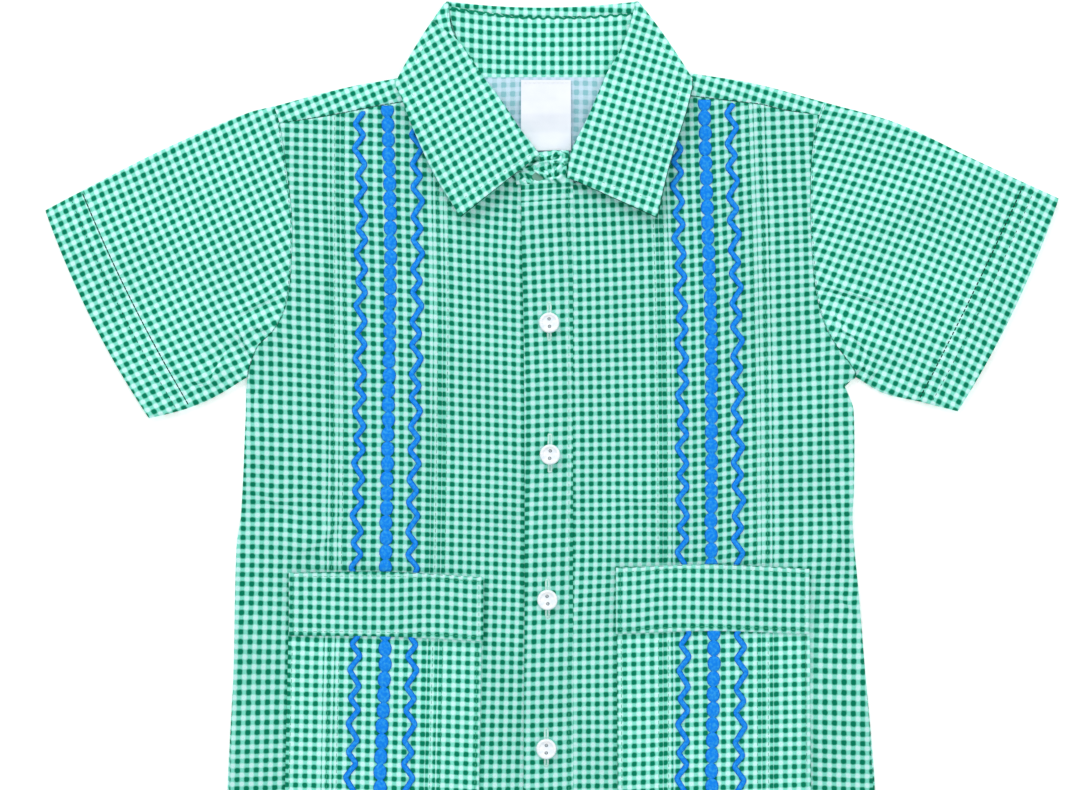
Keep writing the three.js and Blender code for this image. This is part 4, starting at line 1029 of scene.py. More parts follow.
def make_sleeve(side, curves):
    """A flattened tube. Its rings start at the seam under the arm, and go round below, then above."""
    sign = side["sign"]
    top = [through(side["sleeve_top"], "s", way) for way in ("x", "down")]
    under = [through(side["sleeve_under"], "s", way) for way in ("x", "down")]
    start = side["edge"]["down"][0]
    hem = 0.85  # share of the way from the armhole to the cuff at which the solids' hem starts
    sleeve_length = 100
    fold_cloth = 0.8 * math.pi  # cloth that goes round the top fold
    cuff = [under[i](1.0) - top[i](1.0) for i in (0, 1)]
    outward = [sign * cuff[1] / math.hypot(*cuff), -sign * cuff[0] / math.hypot(*cuff)]

    def plan(s, t):
        down = lerp(start, ARMPIT, t)
        seam = [curves.edge(down) + sign * 0.12, down]
        found = []
        for i in (0, 1):
            along = lerp(seam[i], lerp(top[i](1.0), under[i](1.0), t), s)
            across = lerp(top[i](s), under[i](s), t)
            ends = lerp(lerp(top[i](0.0), top[i](1.0), s), lerp(under[i](0.0), under[i](1.0), s), t)
            found.append(along + across - ends + outward[i] * CUFF_BOW * 4 * t * (1 - t) * s)
        return found

    def hem_width(t):
        low, bow, drop = side["hem_width"]
        return low + drop * t - bow * 4 * t * (1 - t)

    def with_hem(s, t):
        """Moves a place along the sleeve so that the hem's fold keeps its distance from the cuff."""
        x0, down0 = plan(0.0, t)
        x1, down1 = plan(1.0, t)
        fold = 1 - hem_width(t) / np.hypot(x1 - x0, down1 - down0)
        return s + (fold - hem) * np.minimum(s / hem, (1 - s) / (1 - hem))

    s = np.concatenate([
        [0, 0.004, 0.01, 0.018], np.linspace(0.027, 0.36, 38), np.linspace(0.378, hem - 0.012, 30),
        [hem - 0.004, hem, hem + 0.004, hem + 0.01], np.linspace(hem + 0.02, 0.985, 8), [0.992, 0.997, 1],
    ])
    radius = FRONT_TOP / 2
    quarter = np.linspace(0, math.pi / 2, 6)
    curl, lift = radius * (1 - np.cos(quarter)), radius * np.sin(quarter)
    (x0, down0), (x1, down1) = plan(s, 0.0), plan(s, 1.0)
    width = np.hypot(x0 - x1, down0 - down1)[:, None]
    spread = np.concatenate([np.linspace(0, 0.6, 34)[1:-1], np.linspace(0.6, 1, 46)[:-1]])
    sparse = np.linspace(0, 1, 40)[1:-1]

    def stretch(shares):
        return (radius + shares * (width - 2 * radius)) / width

    def curled(near_top):
        return curl / width if near_top else 1 - curl / width

    # Shares of the way from the top fold to the lower one, and heights above the middle of the thickness.
    t = np.concatenate([
        curled(False), stretch(sparse[::-1]), curled(True)[:, ::-1],
        curled(True)[:, 1:], stretch(spread), curled(False)[:, ::-1][:, :-1],
    ], 1)
    below = np.concatenate([-lift, np.full(len(sparse), -radius), -lift[::-1]])
    above = np.concatenate([lift[1:], np.full(len(spread), radius), lift[::-1][:-1]])
    z0 = np.concatenate([below, above])
    upper = np.concatenate([np.zeros(len(below)), np.ones(len(above))])
    x, down = plan(with_hem(s[:, None], t), t)
    full = part((z0 + radius) / FRONT_TOP)
    hemmed = smooth((s - hem) / 0.008)[:, None]
    z = radius + z0 + (crease_height(x, down) + HEM_RAISE * hemmed) * full * upper
    z -= rolled(s[:, None] * sleeve_length, 1.2, 0.5) * upper * full
    from_cuff = (1 - s[:, None]) / (1 - hem) * hem_width(t)
    z -= 0.25 * bell(from_cuff - hem_width(t) + 0.6, 0.7) * upper * full
    z -= rolled(from_cuff, 0.9, 0.5) * upper * full
    z += rolled(from_cuff, 0.9, 0.3) * (1 - upper) * (1 - full)
    z = np.maximum(z, 0)

    def woven(x, down):
        u, v = turned(x - top[0](0.0), down - top[1](0.0), *side["sleeve_turn"])
        bend_u, bend_v = side["sleeve_bend"]
        start_u, start_v = side["sleeve_start"]
        return u - bend_u * v**2 / 2 + start_u, v - bend_v * (u - 35) ** 2 / 2 + start_v

    _, move_x, move_down = fold_effects(x, down)
    u, v = woven(x + move_x, down + move_down)
    u, v = u + side["hem_start"][0] * hemmed, v + side["hem_start"][1] * hemmed
    fold_v = woven(top[0](s), top[1](s))[1][:, None]
    v = np.where(upper[None] == 0, 2 * fold_v - v - fold_cloth, v)
    thickness = THIN + (HEMMED - THIN) * hemmed
    points = np.stack([x, down, z], -1)
    if sign > 0:
        points, u, v = points[:, ::-1], u[:, ::-1], v[:, ::-1]
    u, v = np.concatenate([u, u[:, -1:]], 1), np.concatenate([v, v[:, -1:] + 0.4], 1)
    name, cloth = f"cloth_sleeve_{side['name']}", sway(u, v, 0.3)
    piece, face = shell(name, points, cloth, thickness, PRINT, WRONG_SIDE, tube=True)
    shown = np.flatnonzero((z0 > radius - 0.01)[::-sign])
    hem_row, middle_row = np.interp([hem + 0.006, 0.9], s, np.arange(len(s)))
    # A dark line at the hem's fold, partly stitches and partly painted shade of the fold's groove, and
    # stitches in the hem and beside the armhole.
    sew("dark", face, hem_row, shown, pitch=2.2, length=side["hem_stitch"], width=0.6, rise=0.1)
    sew("dark", face, middle_row, shown, pitch=2.3, length=1.2, width=0.26, rise=0.06)
    sew("dark", face, 1.5, shown, pitch=2.2, length=1.5, width=0.2, rise=0.05)
    return piece


def make_back(left, right):
    """The back lies with its right side down; its wrong side shows through the neck."""
    nearest, reach = 0.75, 18
    fixed = np.concatenate([np.linspace(-100, -nearest, 31), np.linspace(nearest, 100, 31)])
    steps = np.array([0, 0.1, 0.35, 0.8, 1.3, 3.0])
    blend = np.linspace(0, 1, 9)[1:-1]

    def flare(down):
        """How far the back shows past the fronts low down."""
        return 0.7 * part((down - 300) / 40)

    def top(x):
        left_seam = left.seam(np.minimum(x, -SHOULDER_POINT))
        right_seam = right.seam(np.maximum(x, SHOULDER_POINT))
        shoulder = np.where(x < 0, left_seam, right_seam)
        return lerp(NECK_SEAM, shoulder, part((np.abs(x) - NECK_HALF) / (SHOULDER_POINT - NECK_HALF))) + 0.1

    shares = np.concatenate([[0], np.linspace(0.03, 1, 22)[:-1]])
    deep = np.concatenate([
        np.arange(FIRST_ROW, 180, 2.6), np.arange(180, CROTCH - 1, 3.4), CROTCH + np.array([0, 1.5, 3, 5]),
        np.linspace(CROTCH + 8, LEG_HEM - 1.5, 9), LEG_HEM + np.array([-0.8, 0, 0.8]),
        np.linspace(LEG_HEM + 1.8, LEG_END - 1.5, 6), LEG_END - np.array([0.6, 0]),
    ])
    rows = []
    for share, level in [(a, None) for a in shares] + [(None, b) for b in deep]:
        blocks = []
        for sign, curves in ((-1, left), (1, right)):
            end_down = level if share is None else lerp(float(top(sign * YOKE_END)), FIRST_ROW, share)
            edge = float(curves.edge(end_down)) + sign * flare(end_down)
            near = edge - sign * steps
            blocks.append(np.concatenate([near, lerp(near[-1], sign * 100, blend)])[::-sign])
        middle = fixed
        if share is None and level >= CROTCH:
            # The legs part, and the columns near the middle are pushed outwards.
            gap = max(float(INSEAM(level)), 0.2)
            pushed = np.sign(fixed) * lerp(gap, reach, (np.abs(fixed) - nearest) / (reach - nearest))
            middle = np.where(np.abs(fixed) < reach, pushed, fixed)
        x = np.concatenate([blocks[0], middle, blocks[1]])
        down = np.full(len(x), level) if share is None else lerp(top(x), FIRST_ROW, share)
        rows.append(np.stack([x, down, np.zeros(len(x))], -1))
    points = np.array(rows)
    x, down = points[..., 0], points[..., 1]
    edge = np.where(x < 0, left.edge(down) - flare(down), right.edge(down) + flare(down))
    side_share = smooth((down - 158) / 12)
    up = rolled(np.abs(x - edge), 1.3, 1.2) * lerp(0.3, 1, side_share)
    legs = (down >= CROTCH) * rolled(np.abs(np.abs(x) - INSEAM(down)), 1.3, 1.1)
    points[..., 2] = back_lift(x, down) + up + legs + 0.2 * bell(down - LEG_HEM, 0.8)
    middle_column = len(steps) + len(blend) + len(fixed) // 2 - 1
    keep = np.ones((len(points) - 1, points.shape[1] - 1), bool)
    keep[len(shares) + int(np.searchsorted(deep, CROTCH)) :, middle_column] = False
    cloth = sway(x + 1.9, down + 0.7)
    materials = (BODY_PRINT_PAINTED_SHADE, WRONG_SIDE)
    piece, face = shell("cloth_back", points, cloth, CLOTH, *materials, down_side=True, keep=keep)
    hem_row = float(np.interp(LEG_HEM, deep, np.arange(len(deep)))) + len(shares)
    for first, last in ((1, middle_column), (middle_column + 2, points.shape[1] - 1)):
        sew("green", face, hem_row, np.arange(first, last))
    return piece


def make_placket():
    """The band of buttonholes. It slopes down to the cloth of the front at its right."""
    edge_rows = table(
        "down x", (80.9, -12.6), (110, -12.1), (150, -11.3), (240, -10.9), (330, -11.3), (421, -11.2)
    )
    edge = through(edge_rows, "down", "x")
    top, end = PLACKET["top"], PLACKET["end"]
    rows = np.concatenate([
        [top, top + 0.4], np.arange(81.8, 90, 0.3), np.arange(90.5, end - 1, 1.9), [end - 0.5, end]
    ])
    right = PLACKET["right"] + 0.5
    seam_x = PLACKET["right"] - 1.4
    share = np.concatenate([[0, 0.006, 0.016, 0.032, 0.06], np.linspace(0.1, 1, 20)])
    x = lerp(edge(rows)[:, None], right, share)
    down = np.broadcast_to(rows[:, None], x.shape)
    z = POCKET_TOP - 0.1 + 0.08 * np.sin(down * 0.11 + x * 0.2) + 0.05 * np.sin(down * 0.9 + x)
    z -= rolled(x - edge(rows)[:, None], 0.9, 0.8)
    slope = smooth((x - 3.5) / (right - 3.5))
    z = lerp(z, FRONT_TOP + 0.32, slope)
    z -= 0.14 * bell(x - seam_x, 0.5)
    fallen = down + 0.06 * (x + 7.7)
    drift = table(
        "down across along",
        (84, 0, 0), (92, 0, 0), (110, -0.8, -0.5), (140, -1.8, 0.4), (171, -2.7, 1.2), (233, -1.8, 1.2),
        (294, -0.9, -0.5), (421, 0, 0),
    )
    u = x + 1.9 + through(drift, "down", "across")(down)
    v = 0.99 * (fallen - 91.6) + 2 + through(drift, "down", "along")(down)
    # Two rows are sewn through below the neck, and the cloth in their seams is hidden.
    for level, hidden in ((88.3, 1.5), (83.2, 1.1)):
        z -= 0.3 * bell(fallen - level - 0.1, 0.45) * (1 - slope)
        v -= hidden * (1 - smooth((fallen - level) / 0.5))
    thickness = lerp(DOUBLE, 0.3, slope)
    piece, face = shell("cloth_placket", np.stack([x, down, z], -1), sway(u, v, 0.3), thickness, BODY_PRINT_PAINTED_SHADE)
    r, seam_column = np.arange(1, len(rows) - 1), np.interp(seam_x, x[0], np.arange(x.shape[1]))
    sew("green", face, r, seam_column, pitch=2.5, length=1.9, width=0.22, rise=0.06)
    return piece


# Where the seam runs across the inner face of the collar, under its top fold.
SEAM_ROWS = table(
    "x down",
    (-46, 1.8), (-44, 2.6), (-26, 5.6), (-10.8, 7.6), (0, 7.8), (13.4, 7.6), (24, 6.8), (33, 6.1),
    (40, 5.6),
)
SEAM_LINE = through(SEAM_ROWS, "x", "down")
COLLAR_END = 34.8
COLLAR_ROLL = 1.45  # radius of the fold along the top of a leaf
COLLAR_ROW = 20  # rough distance between two rows of a leaf's table near its lower edge
EDGE_RAISE = 2.4  # how far a leaf's free edge stands off the front, for the shade under it


def make_collar_leaf(side):
    """A leaf of the collar. Each row of points runs from under the roll, over it and out to the edge."""
    sign = side["sign"]
    rows = side["collar"]
    last = rows["row"][-1]
    r = np.concatenate([
        np.linspace(0, 1.4, 44)[:-1], np.linspace(1.4, last - 0.06, 92),
        last - np.array([0.045, 0.03, 0.018, 0.008, 0]),
    ])[:, None]
    at = {key: through(rows, "row", key)(r) for key in rows if key != "row"}
    span = np.stack([at["edge_x"] - at["roll_x"], at["edge_down"] - at["roll_down"]], -1)
    length = np.linalg.norm(span, axis=-1)
    direction = span / np.maximum(length, 1e-6)[..., None]
    short = np.minimum(1, length / 12)
    radius = COLLAR_ROLL * short
    angles = np.linspace(-math.pi / 2, -1.5 * math.pi, 9)
    roll = slice(0, len(angles))
    leaf_end = np.maximum(length - 0.9 * short - 0.2, radius)
    away = np.concatenate([
        radius * (1 + np.cos(angles)), lerp(radius, leaf_end, np.linspace(0, 1, 64)[1:]),
        length - np.array([0.9, 0.5, 0.25, 0.1, 0]) * short,
    ], 1)
    share = away / np.maximum(length, 1e-6)
    free_edge = at["under"] + CLOTH + EDGE_RAISE * smooth((r - 3) / 1.5)
    z = lerp(at["lip"] + 2 * COLLAR_ROLL, free_edge, part(share)) + 0.6 * short * np.sin(np.pi * share)
    turn_share = part((angles + math.pi / 2) / -math.pi)
    leans = (z[:, roll] - at["lip"] - 2 * COLLAR_ROLL) * np.sin(turn_share * math.pi / 2)
    z[:, roll] = at["lip"] + radius * (1 + np.sin(angles)) + leans
    # It flattens towards its upper end, behind the neck.
    lowest = FRONT_TOP + 0.35
    z = lerp(lowest + (z - lowest) * 0.35, z, smooth(r / 0.9))
    z -= rolled(length - away, 0.9, 0.6)
    from_bottom = (last - r) * COLLAR_ROW
    z -= rolled(from_bottom, 0.9, 0.6) * (away > radius)
    z -= 0.22 * bell(length - away - 6, 0.9) * smooth((length - 10) / 6)
    z -= 0.22 * bell(from_bottom - 6, 0.9) * part((away - 6) / 3)
    z += 0.18 * np.sin(away * 0.16 + r * 1.3) * part(away / 8) * part((length - away) / 8)
    x = at["roll_x"] + direction[..., 0] * away
    down = at["roll_down"] + direction[..., 1] * away
    unrolled = away.copy()
    unrolled[:, roll] = radius - radius * (angles + 1.5 * math.pi)
    flat_x = at["roll_x"] + direction[..., 0] * unrolled
    flat_down = at["roll_down"] + direction[..., 1] * unrolled
    u, v = turned(flat_x, flat_down, *side["collar_turn"])
    if sign < 0:
        # A crease runs from the shoulder edge to the roll line, near the top of this leaf.
        from_crease = (10 * (down - 9.2) - 8 * (x + 51.2)) / 12.8
        step = smooth((from_crease + 0.1) / 0.5) * np.exp(-np.maximum(from_crease, 0) / 9)
        z += (0.9 * step - 0.5 * bell(from_crease + 0.5, 0.4)) * smooth(share * 8)
        above_u, above_v = turned(flat_x, flat_down, 12, 12)
        u, v = np.where(from_crease < 0, above_u + 1, u), np.where(from_crease < 0, above_v, v)
    u = u * side["collar_scale"][0] + side["collar_start"][0]
    v = v * side["collar_scale"][1] + side["collar_start"][1]
    points, cloth = np.stack([x, down, z], -1)[:, ::sign], sway(u, v, 0.2)[:, ::sign]
    piece, face = shell(f"cloth_collar_{side['name']}", points, cloth, DOUBLE, PRINT)

    def column(row, distance):
        found = np.interp(distance, away[row], np.arange(x.shape[1]))
        return found if sign > 0 else x.shape[1] - 1 - found

    def sew_side(kind, shown, inset, **stitch):
        """Sews a line beside the outer edge, in the rows that are shown."""
        found = np.flatnonzero(shown)
        sew(kind, face, found, np.array([column(i, length[i, 0] - inset) for i in found]), **stitch)

    def sew_bottom(kind, inset, start, end, places, **stitch):
        """Sews a line above the lower edge, from this far off the roll to that far off the outer edge."""
        row = float(np.interp(last - inset / COLLAR_ROW, r[:, 0], np.arange(len(r))))
        distances = np.linspace(start, length[int(row), 0] - end, places)
        sew(kind, face, row, np.array([column(int(row), distance) for distance in distances]), **stitch)

    inset = 5.6
    fine = {"pitch": 2.4, "length": 1.2, "width": 0.18, "rise": 0.04}
    sew_side("green", (length > 14) & (from_bottom > inset), inset, **fine)
    sew_bottom("green", inset, 3, inset, 30, **fine)
    # A dark line of close stitches along the rim is painted shadow, for the shade under the leaf's raised
    # edge.
    line = {"pitch": 0.8, "length": 0.95, "width": 0.42, "rise": 0.1}
    sew_bottom("dark", 0.2, 4 if sign > 0 else 12, 0.4, 40, **line)
    if sign > 0:
        sew_side("dark", (r > 2.6) & (r < last - 0.01), 0.2, **line)
    return piece


def make_collar_back():
    """The collar round the back of the neck: its fall behind the back, its top fold, and its inner face."""
    behind = table(
        "down left right sag",
        (1.3, -45.6, 39.5, 2.7), (18, -57.3, 51.8, 1), (33.5, -65.8, 61.8, 0), (42, -66, 61.6, 0),
    )
    inside = table(
        "down left right sag",
        (1.3, -44.6, 38.5, 2.7), (9, -43.2, 36.2, 2), (20, -39.5, 33, 1), (33.5, -36, 30, 0),
    )
    neck_middle = -2.67
    radius = FRONT_TOP / 2
    centre = 0.4 + radius
    section = [(behind, down, 0.0) for down in np.linspace(42, centre + 0.6, 16)]
    for angle in np.linspace(0, math.pi, 11):
        source = behind if angle < math.pi / 2 else inside
        section.append((source, centre - radius * math.sin(angle), radius * (1 - math.cos(angle))))
    fold_end = len(section) - 1
    levels_inside = np.concatenate([np.linspace(centre + 0.3, 8, 24), np.linspace(8.9, COLLAR_END, 28)])
    section += [(inside, down, FRONT_TOP) for down in levels_inside]
    share = np.linspace(0, 1, 96)
    rows = []
    for source, down, z in section:
        start, end, sag = (float(through(source, "down", key)(down)) for key in ("left", "right", "sag"))
        hung = down + sag * 4 * share * (1 - share)
        rows.append(np.stack([lerp(start, end, share), hung, np.full(len(share), z)], -1))
    points = np.array(rows)
    levels = np.array([down for _, down, _ in section])[:, None]
    face_up = np.array([z > radius for _, _, z in section])[:, None]
    x, down = points[..., 0], points[..., 1]
    seam = SEAM_LINE(x)
    groove = 0.35 * bell(down - seam, 0.45) * face_up
    puff = 0.25 * bell(down - seam + 2, 1.2) * face_up
    inner_wave = 0.1 * np.sin(x * 0.22) * np.sin(levels * 0.2) * (face_up & (levels > 6))
    points[..., 2] += puff - groove + inner_wave
    points[..., 2] -= rolled(COLLAR_END - levels, 1.0, 0.5) * face_up
    arc = travelled(points)
    # The rows bend down to the middle, more so near the top, and some cloth is hidden in the seam.
    from_middle = ((x + 2.7) / 35.7) ** 2
    lower_down = part((down - 10) / 22)
    bent = np.where(x < -2.7, 2.65 * (1 - 0.5 * lower_down), 1.4 * (1 - lower_down))
    lower = 0.98 * (down + bent * from_middle - 31.7) + 2
    upper = 0.96 * (down - 3.8 - 0.03 * (x - 2.4)) + 2
    above = down < seam
    v = np.where(face_up, np.where(above, upper, lower), 0.98 * (arc - arc[fold_end]) + upper[fold_end])
    u = 1.015 * (x - neck_middle) + 2 + np.where(above | ~face_up, 2.0, 0)
    piece, face = shell("cloth_collar_back", points, np.stack([u, v], -1), DOUBLE, PRINT)
    columns = np.arange(1, len(share) - 1)
    sew("dark", face, len(levels) - 1.3, columns, pitch=2.9, length=1.9, width=0.22, rise=0.05)
    # The seam swings up and down between the half dots on either side of it.
    c = np.linspace(0.5, len(share) - 1.5, 420)
    c_x = np.interp(c, np.arange(len(share)), x[-12])
    wanted = SEAM_LINE(c_x) + 0.55 * np.cos(2 * np.pi * (c_x - neck_middle) / CHECK_LAID)
    rows_up = np.flatnonzero(face_up)
    r = np.array([np.interp(w, down[rows_up, int(round(column))], rows_up) for w, column in zip(wanted, c)])
    sew("seam", face, r, c, pitch=0.8, length=1.15, width=0.9, rise=0.12)
    return piece


# Rolls of the cloth bunched at the neck: the line of each, how high it stands and half its width.
BUNCH = [
    (
        [
            (-7.4, 73.0), (-6.4, 74.4), (-4.4, 76.0), (-2.1, 77.2), (0.1, 78.6), (4.0, 78.3), (6.3, 75.7),
            (7.4, 71.5),
        ],
        1.6, 1.0,
    ),
    ([(-7.2, 73.1), (-4.4, 71.2), (-1.6, 70.2), (0.7, 71.2), (2.6, 73.1), (3.0, 75.6)], 1.5, 1.1),
    ([(2.6, 76.2), (4.2, 73.6), (6.0, 71.4), (7.9, 69.4)], 1.3, 0.8),
    ([(-11.1, 71.5), (-9.1, 71.0), (-6.2, 68.0), (-3.8, 69.6), (-0.6, 69.2)], 1.2, 0.7),
    ([(-12.4, 73.0), (-10.5, 74.2), (-8.3, 73.4)], 1.0, 0.7),
    ([(-14.2, 76.2), (-11.8, 75.9), (-9.6, 77.0), (-8.0, 79.4)], 0.9, 0.7),
    ([(-12.6, 79.6), (-10.6, 78.4), (-9.0, 80.4)], 0.6, 0.6),
    ([(0.8, 69.4), (2.8, 67.4), (5.4, 67.8), (4.6, 70.2), (2.2, 70.8)], 1.1, 0.6),
    ([(5.6, 66.4), (7.6, 67.4), (8.4, 69.6), (6.8, 71.0)], 1.0, 0.6),
    ([(-4.6, 74.2), (-2.6, 73.4), (-0.4, 74.4), (0.6, 76.4)], 0.7, 0.8),
]


def make_binding():
    """Cloth drawn up in small rolls where the fronts meet at the neck."""
    outline = table(
        "row down left right",
        (0, 66.0, 1.2, 8.2), (1, 67.6, -7.6, 8.9), (2, 69.4, -9.6, 8.9), (3, 71.4, -12.0, 8.6),
        (4, 73.6, -13.6, 8.6), (5, 76.0, -15.4, 9.4), (6, 78.4, -15.4, 10.2), (7, 81.0, -14.4, 10.6),
    )
    i = np.linspace(0, 7, 96)[:, None]
    at = {key: through(outline, "row", key)(i) for key in ("down", "left", "right")}
    share = np.linspace(0, 1, 120)[None]
    x = lerp(at["left"], at["right"], share)
    down = at["down"] + 0 * x
    flat = 4.15 + 0.1 * np.sin(x * 0.9 + down * 0.5) * np.sin(down * 0.8 - x * 0.3)
    z = flat
    drawn = np.zeros(x.shape)
    for line, height, half in BUNCH:
        away = np.full(x.shape, FAR)
        for (x0, down0), (x1, down1) in zip(line[:-1], line[1:]):
            length = math.hypot(x1 - x0, down1 - down0)
            held = part(((x - x0) * (x1 - x0) + (down - down0) * (down1 - down0)) / length**2)
            away = np.minimum(away, np.hypot(x - lerp(x0, x1, held), down - lerp(down0, down1, held)))
        groove = 0.9 * bell(away - 1.45 * half, 0.45)
        z = np.maximum(z - groove, flat + height * np.sqrt(part(1 - (away / half) ** 2)))
        drawn = np.maximum(drawn, smooth(1.6 - away / (1.5 * half)))
    # A deep hollow opens in the fold at the left.
    z = z - 1.3 * np.exp(-(((x + 6.6) / 2.2) ** 2) - ((down - 70.9 + 0.25 * (x + 6.6)) / 1.1) ** 2)
    edge = np.minimum(np.minimum(share, 1 - share) * 20, np.minimum(i, 7 - i) * 2.1)
    z = z - rolled(edge, 1.0, 0.9)
    u = x + 1.9 + drawn * (1.1 * np.sin(x * 0.45) + 0.6 * (z - flat))
    v = 0.99 * (down + 0.06 * (x + 7.7) - 91.6) - 0.6 + drawn * (0.6 * (z - flat) + 0.9 * np.sin(x * 0.4))
    cloth = np.stack([u, v], -1)
    piece, _ = shell("cloth_neck_binding", np.stack([x, down, z], -1), cloth, THIN, PRINT, FACING_PAINTED_SHADE)
    mesh = piece.data
    centres = np.zeros(len(mesh.polygons) * 3)
    mesh.polygons.foreach_get("center", centres)
    centres = centres.reshape(-1, 3) * 1000
    across, depth = centres[:, 0] + MIDDLE_X, MIDDLE_DOWN - centres[:, 1]
    # A scrap of plain facing shows below the bunch; its flat grey-green is painted shade.
    shaded_facing_scrap = ((across + 5.0) / 2.6) ** 2 + ((depth - 77.6) / 1.9) ** 2 < 1
    shaded_facing_scrap &= depth > 75.6 + 0.75 * (across + 6.2)
    index = np.zeros(len(mesh.polygons), np.int32)
    mesh.polygons.foreach_get("material_index", index)
    index[shaded_facing_scrap] = 1
    mesh.polygons.foreach_set("material_index", index)
    return piece


def make_label():
    """The bare label. Its upper edge is sewn down at the neck seam."""
    left, right = -12.5, 9.4
    rows = np.concatenate([[35.1, 35.4, 35.8], np.linspace(36.4, 65.4, 26), [65.8, 66]])
    share = np.linspace(0, 1, 26)
    x = np.broadcast_to(lerp(left, right, share), (len(rows), len(share)))
    down = np.broadcast_to(rows[:, None], x.shape)
    lift = LAYER * part((58 - down) / 8)
    curl = 0.35 * ((2 * share - 1) ** 2) * part((down - 36) / 20) + 0.12 * np.sin(down * 0.3 + x * 0.1)
    z = LAYER + 0.62 + lift + curl
    cloth = np.stack([x, down], -1)
    piece, face = shell("cloth_label", np.stack([x, down, z], -1), cloth, 0.4, RIBBON)
    sew("white", face, 3.0, np.arange(1, len(share) - 1), pitch=1.9, length=1.5)
    return piece


def pocket_waves(x, down):
    """Closer and lower waves, for a pocket's outer face."""
    return 0.6 * waves(x * 1.3, down * 1.2)


def make_pocket(side, curves):
    """A pocket. The tucks of the front go on in it, below its band."""
    sign = side["sign"]
    top = side["band"]["top"].max() + 0.5
    under = side["band"]["bottom"].max() + GAP
    levels = np.concatenate([
        [top, top + 2], np.linspace(top + 6, under - 1, 6), [under, under + 0.9],
        np.arange(under + 2, POCKET_END - 2.5, 2.0), POCKET_END - np.array([2.0, 1.3, 0.8, 0.4, 0.15, 0]),
    ])
    ends = sorted(abs(side["pocket"][key][0]) for key in ("outer", "inner"))
    low, high = sorted((sign * (ends[0] + 3.6), sign * (ends[1] - 3.6)))
    fixed_x, fixed_up, fixed_cloth = tucked_columns(low, high, side["tucks"], sign, 1.9)
    shift = curves.shift(levels)[:, None]
    outer, inner = curves.pocket_outer(levels)[:, None], curves.pocket_inner(levels)[:, None]
    left, right = (outer, inner)[::-sign]
    edge = EDGE_STEPS[:-1]
    x = np.concatenate([left + edge, fixed_x + shift, right - edge[::-1]], 1)
    fixed_at = slice(len(edge), len(edge) + len(fixed_x))
    up = np.pad(fixed_up, len(edge))
    nominal = x - shift
    cloth_x = nominal + np.where(np.abs(nominal) > 96.5, sign * TUCK_CLOTH * len(side["tucks"]), 0)
    cloth_x[:, fixed_at] = fixed_cloth
    down = np.broadcast_to(levels[:, None], x.shape)
    shown = smooth((down - under) / 0.9)
    soft = tuck_pucker(nominal, down, side["tucks"]) + pocket_waves(x, down)
    z = POCKET_TOP - FACE_SINK + (up + soft) * shown
    from_edge = np.minimum(x - left, right - x)
    z -= rolled(from_edge, 1.1, 0.95) + rolled(POCKET_END - down, 1.1, 0.95)
    z -= 0.16 * bell(from_edge - SEAM_INSET, 0.55) * shown
    z -= 0.16 * bell(POCKET_END - down - SEAM_INSET, 0.55)
    start_u, start_v = side["pocket_start"]
    cloth = sway(cloth_x + start_u, down + 0.04 * (np.abs(x) - 72) + start_v, 0.3)
    piece, face = shell(f"cloth_pocket_{side['name']}", np.stack([x, down, z], -1), cloth, DOUBLE, PRINT)
    rows, columns = np.arange(len(levels)), np.arange(x.shape[1])
    shown_rows = rows[levels > under + 1][:-4]
    for column in (len(edge) - 1.2, len(columns) - len(edge) + 0.2):
        sew("green", face, shown_rows, column)
    sew("green", face, np.interp(POCKET_END - SEAM_INSET, levels, rows), columns[5:-5])
    for tuck in side["tucks"]:
        sew("green", face, shown_rows, np.interp(tuck - sign * TUCK_SEAM, nominal[0], columns), width=0.26)
    return piece


def make_band(side, curves):
    """The band over a pocket's mouth."""
    ends = side["band"]["x"][0], side["band"]["x"][-1]
    edge = EDGE_STEPS[:-1]
    xs = np.concatenate([ends[0] + edge, np.linspace(ends[0] + 3, ends[1] - 3, 44), (ends[1] - edge)[::-1]])
    top, bottom = curves.band_top(xs), curves.band_bottom(xs)
    share = np.concatenate([edge / 28, np.linspace(0.1, 0.9, 14), (1 - edge / 28)[::-1]])[:, None]
    down = lerp(top, bottom, share)
    x = np.broadcast_to(xs, down.shape)
    from_edge = np.minimum(np.minimum(x - ends[0], ends[1] - x), np.minimum(down - top, bottom - down))
    z = BAND_TOP - FACE_SINK + 0.1 * np.sin(x * 0.21 + down * 0.1) * part(from_edge / 4)
    z = z + 0.05 * np.sin(x * 1.1 + down) - rolled(from_edge, 1.0, 0.95)
    z = z - 0.16 * bell(from_edge - SEAM_INSET, 0.5)
    start_u, start_v = side["band_start"]
    fallen = down - BAND_MIDDLE + through(side["band_rows"], "x", "by")(x)
    cloth = sway(x - curves.shift(BAND_MIDDLE) + start_u, fallen + start_v, 0.4)
    points = np.stack([x, down, z], -1)
    piece, face = shell(f"cloth_pocket_band_{side['name']}", points, cloth, DOUBLE, BAND_PRINT_PAINTED_SHADE)
    columns, rows = np.arange(x.shape[1]), np.arange(down.shape[0])
    near = len(edge) - 1.1
    for row in (near, len(rows) - 1 - near):
        sew("green", face, row, columns[4:-4], width=0.24, rise=0.08)
    for column in (near, len(columns) - 1 - near):
        sew("green", face, rows[4:-4], column, width=0.24, rise=0.08)
    # A dark dash in each repeat of the check along the band's upper edge, as painted shadow under that edge.
    sew("dark", face, 1.5, columns[4:-4], pitch=CHECK_LAID, length=2.6, width=0.3, rise=0.05)
    return piece


CHAIN = {"half": 2.9, "neck": 0.5, "height": 0.95, "neck_height": 0.3}
ZIGZAG = {"half": 1.2, "height": 0.85}
# One repeat of the zigzag has two swings, and its second one away from the chain is the weaker.
SWINGS = table("at away", (0, 2.4), (0.308, -2.25), (0.53, 1.65), (0.743, -2.25), (1, 2.4))
STRAND = 0.42  # distance between the sections of a satin band


def jitter(count, amount, seed):
    """Small differences between the stitches of a band."""
    return np.random.default_rng(seed).uniform(-amount, amount, count)


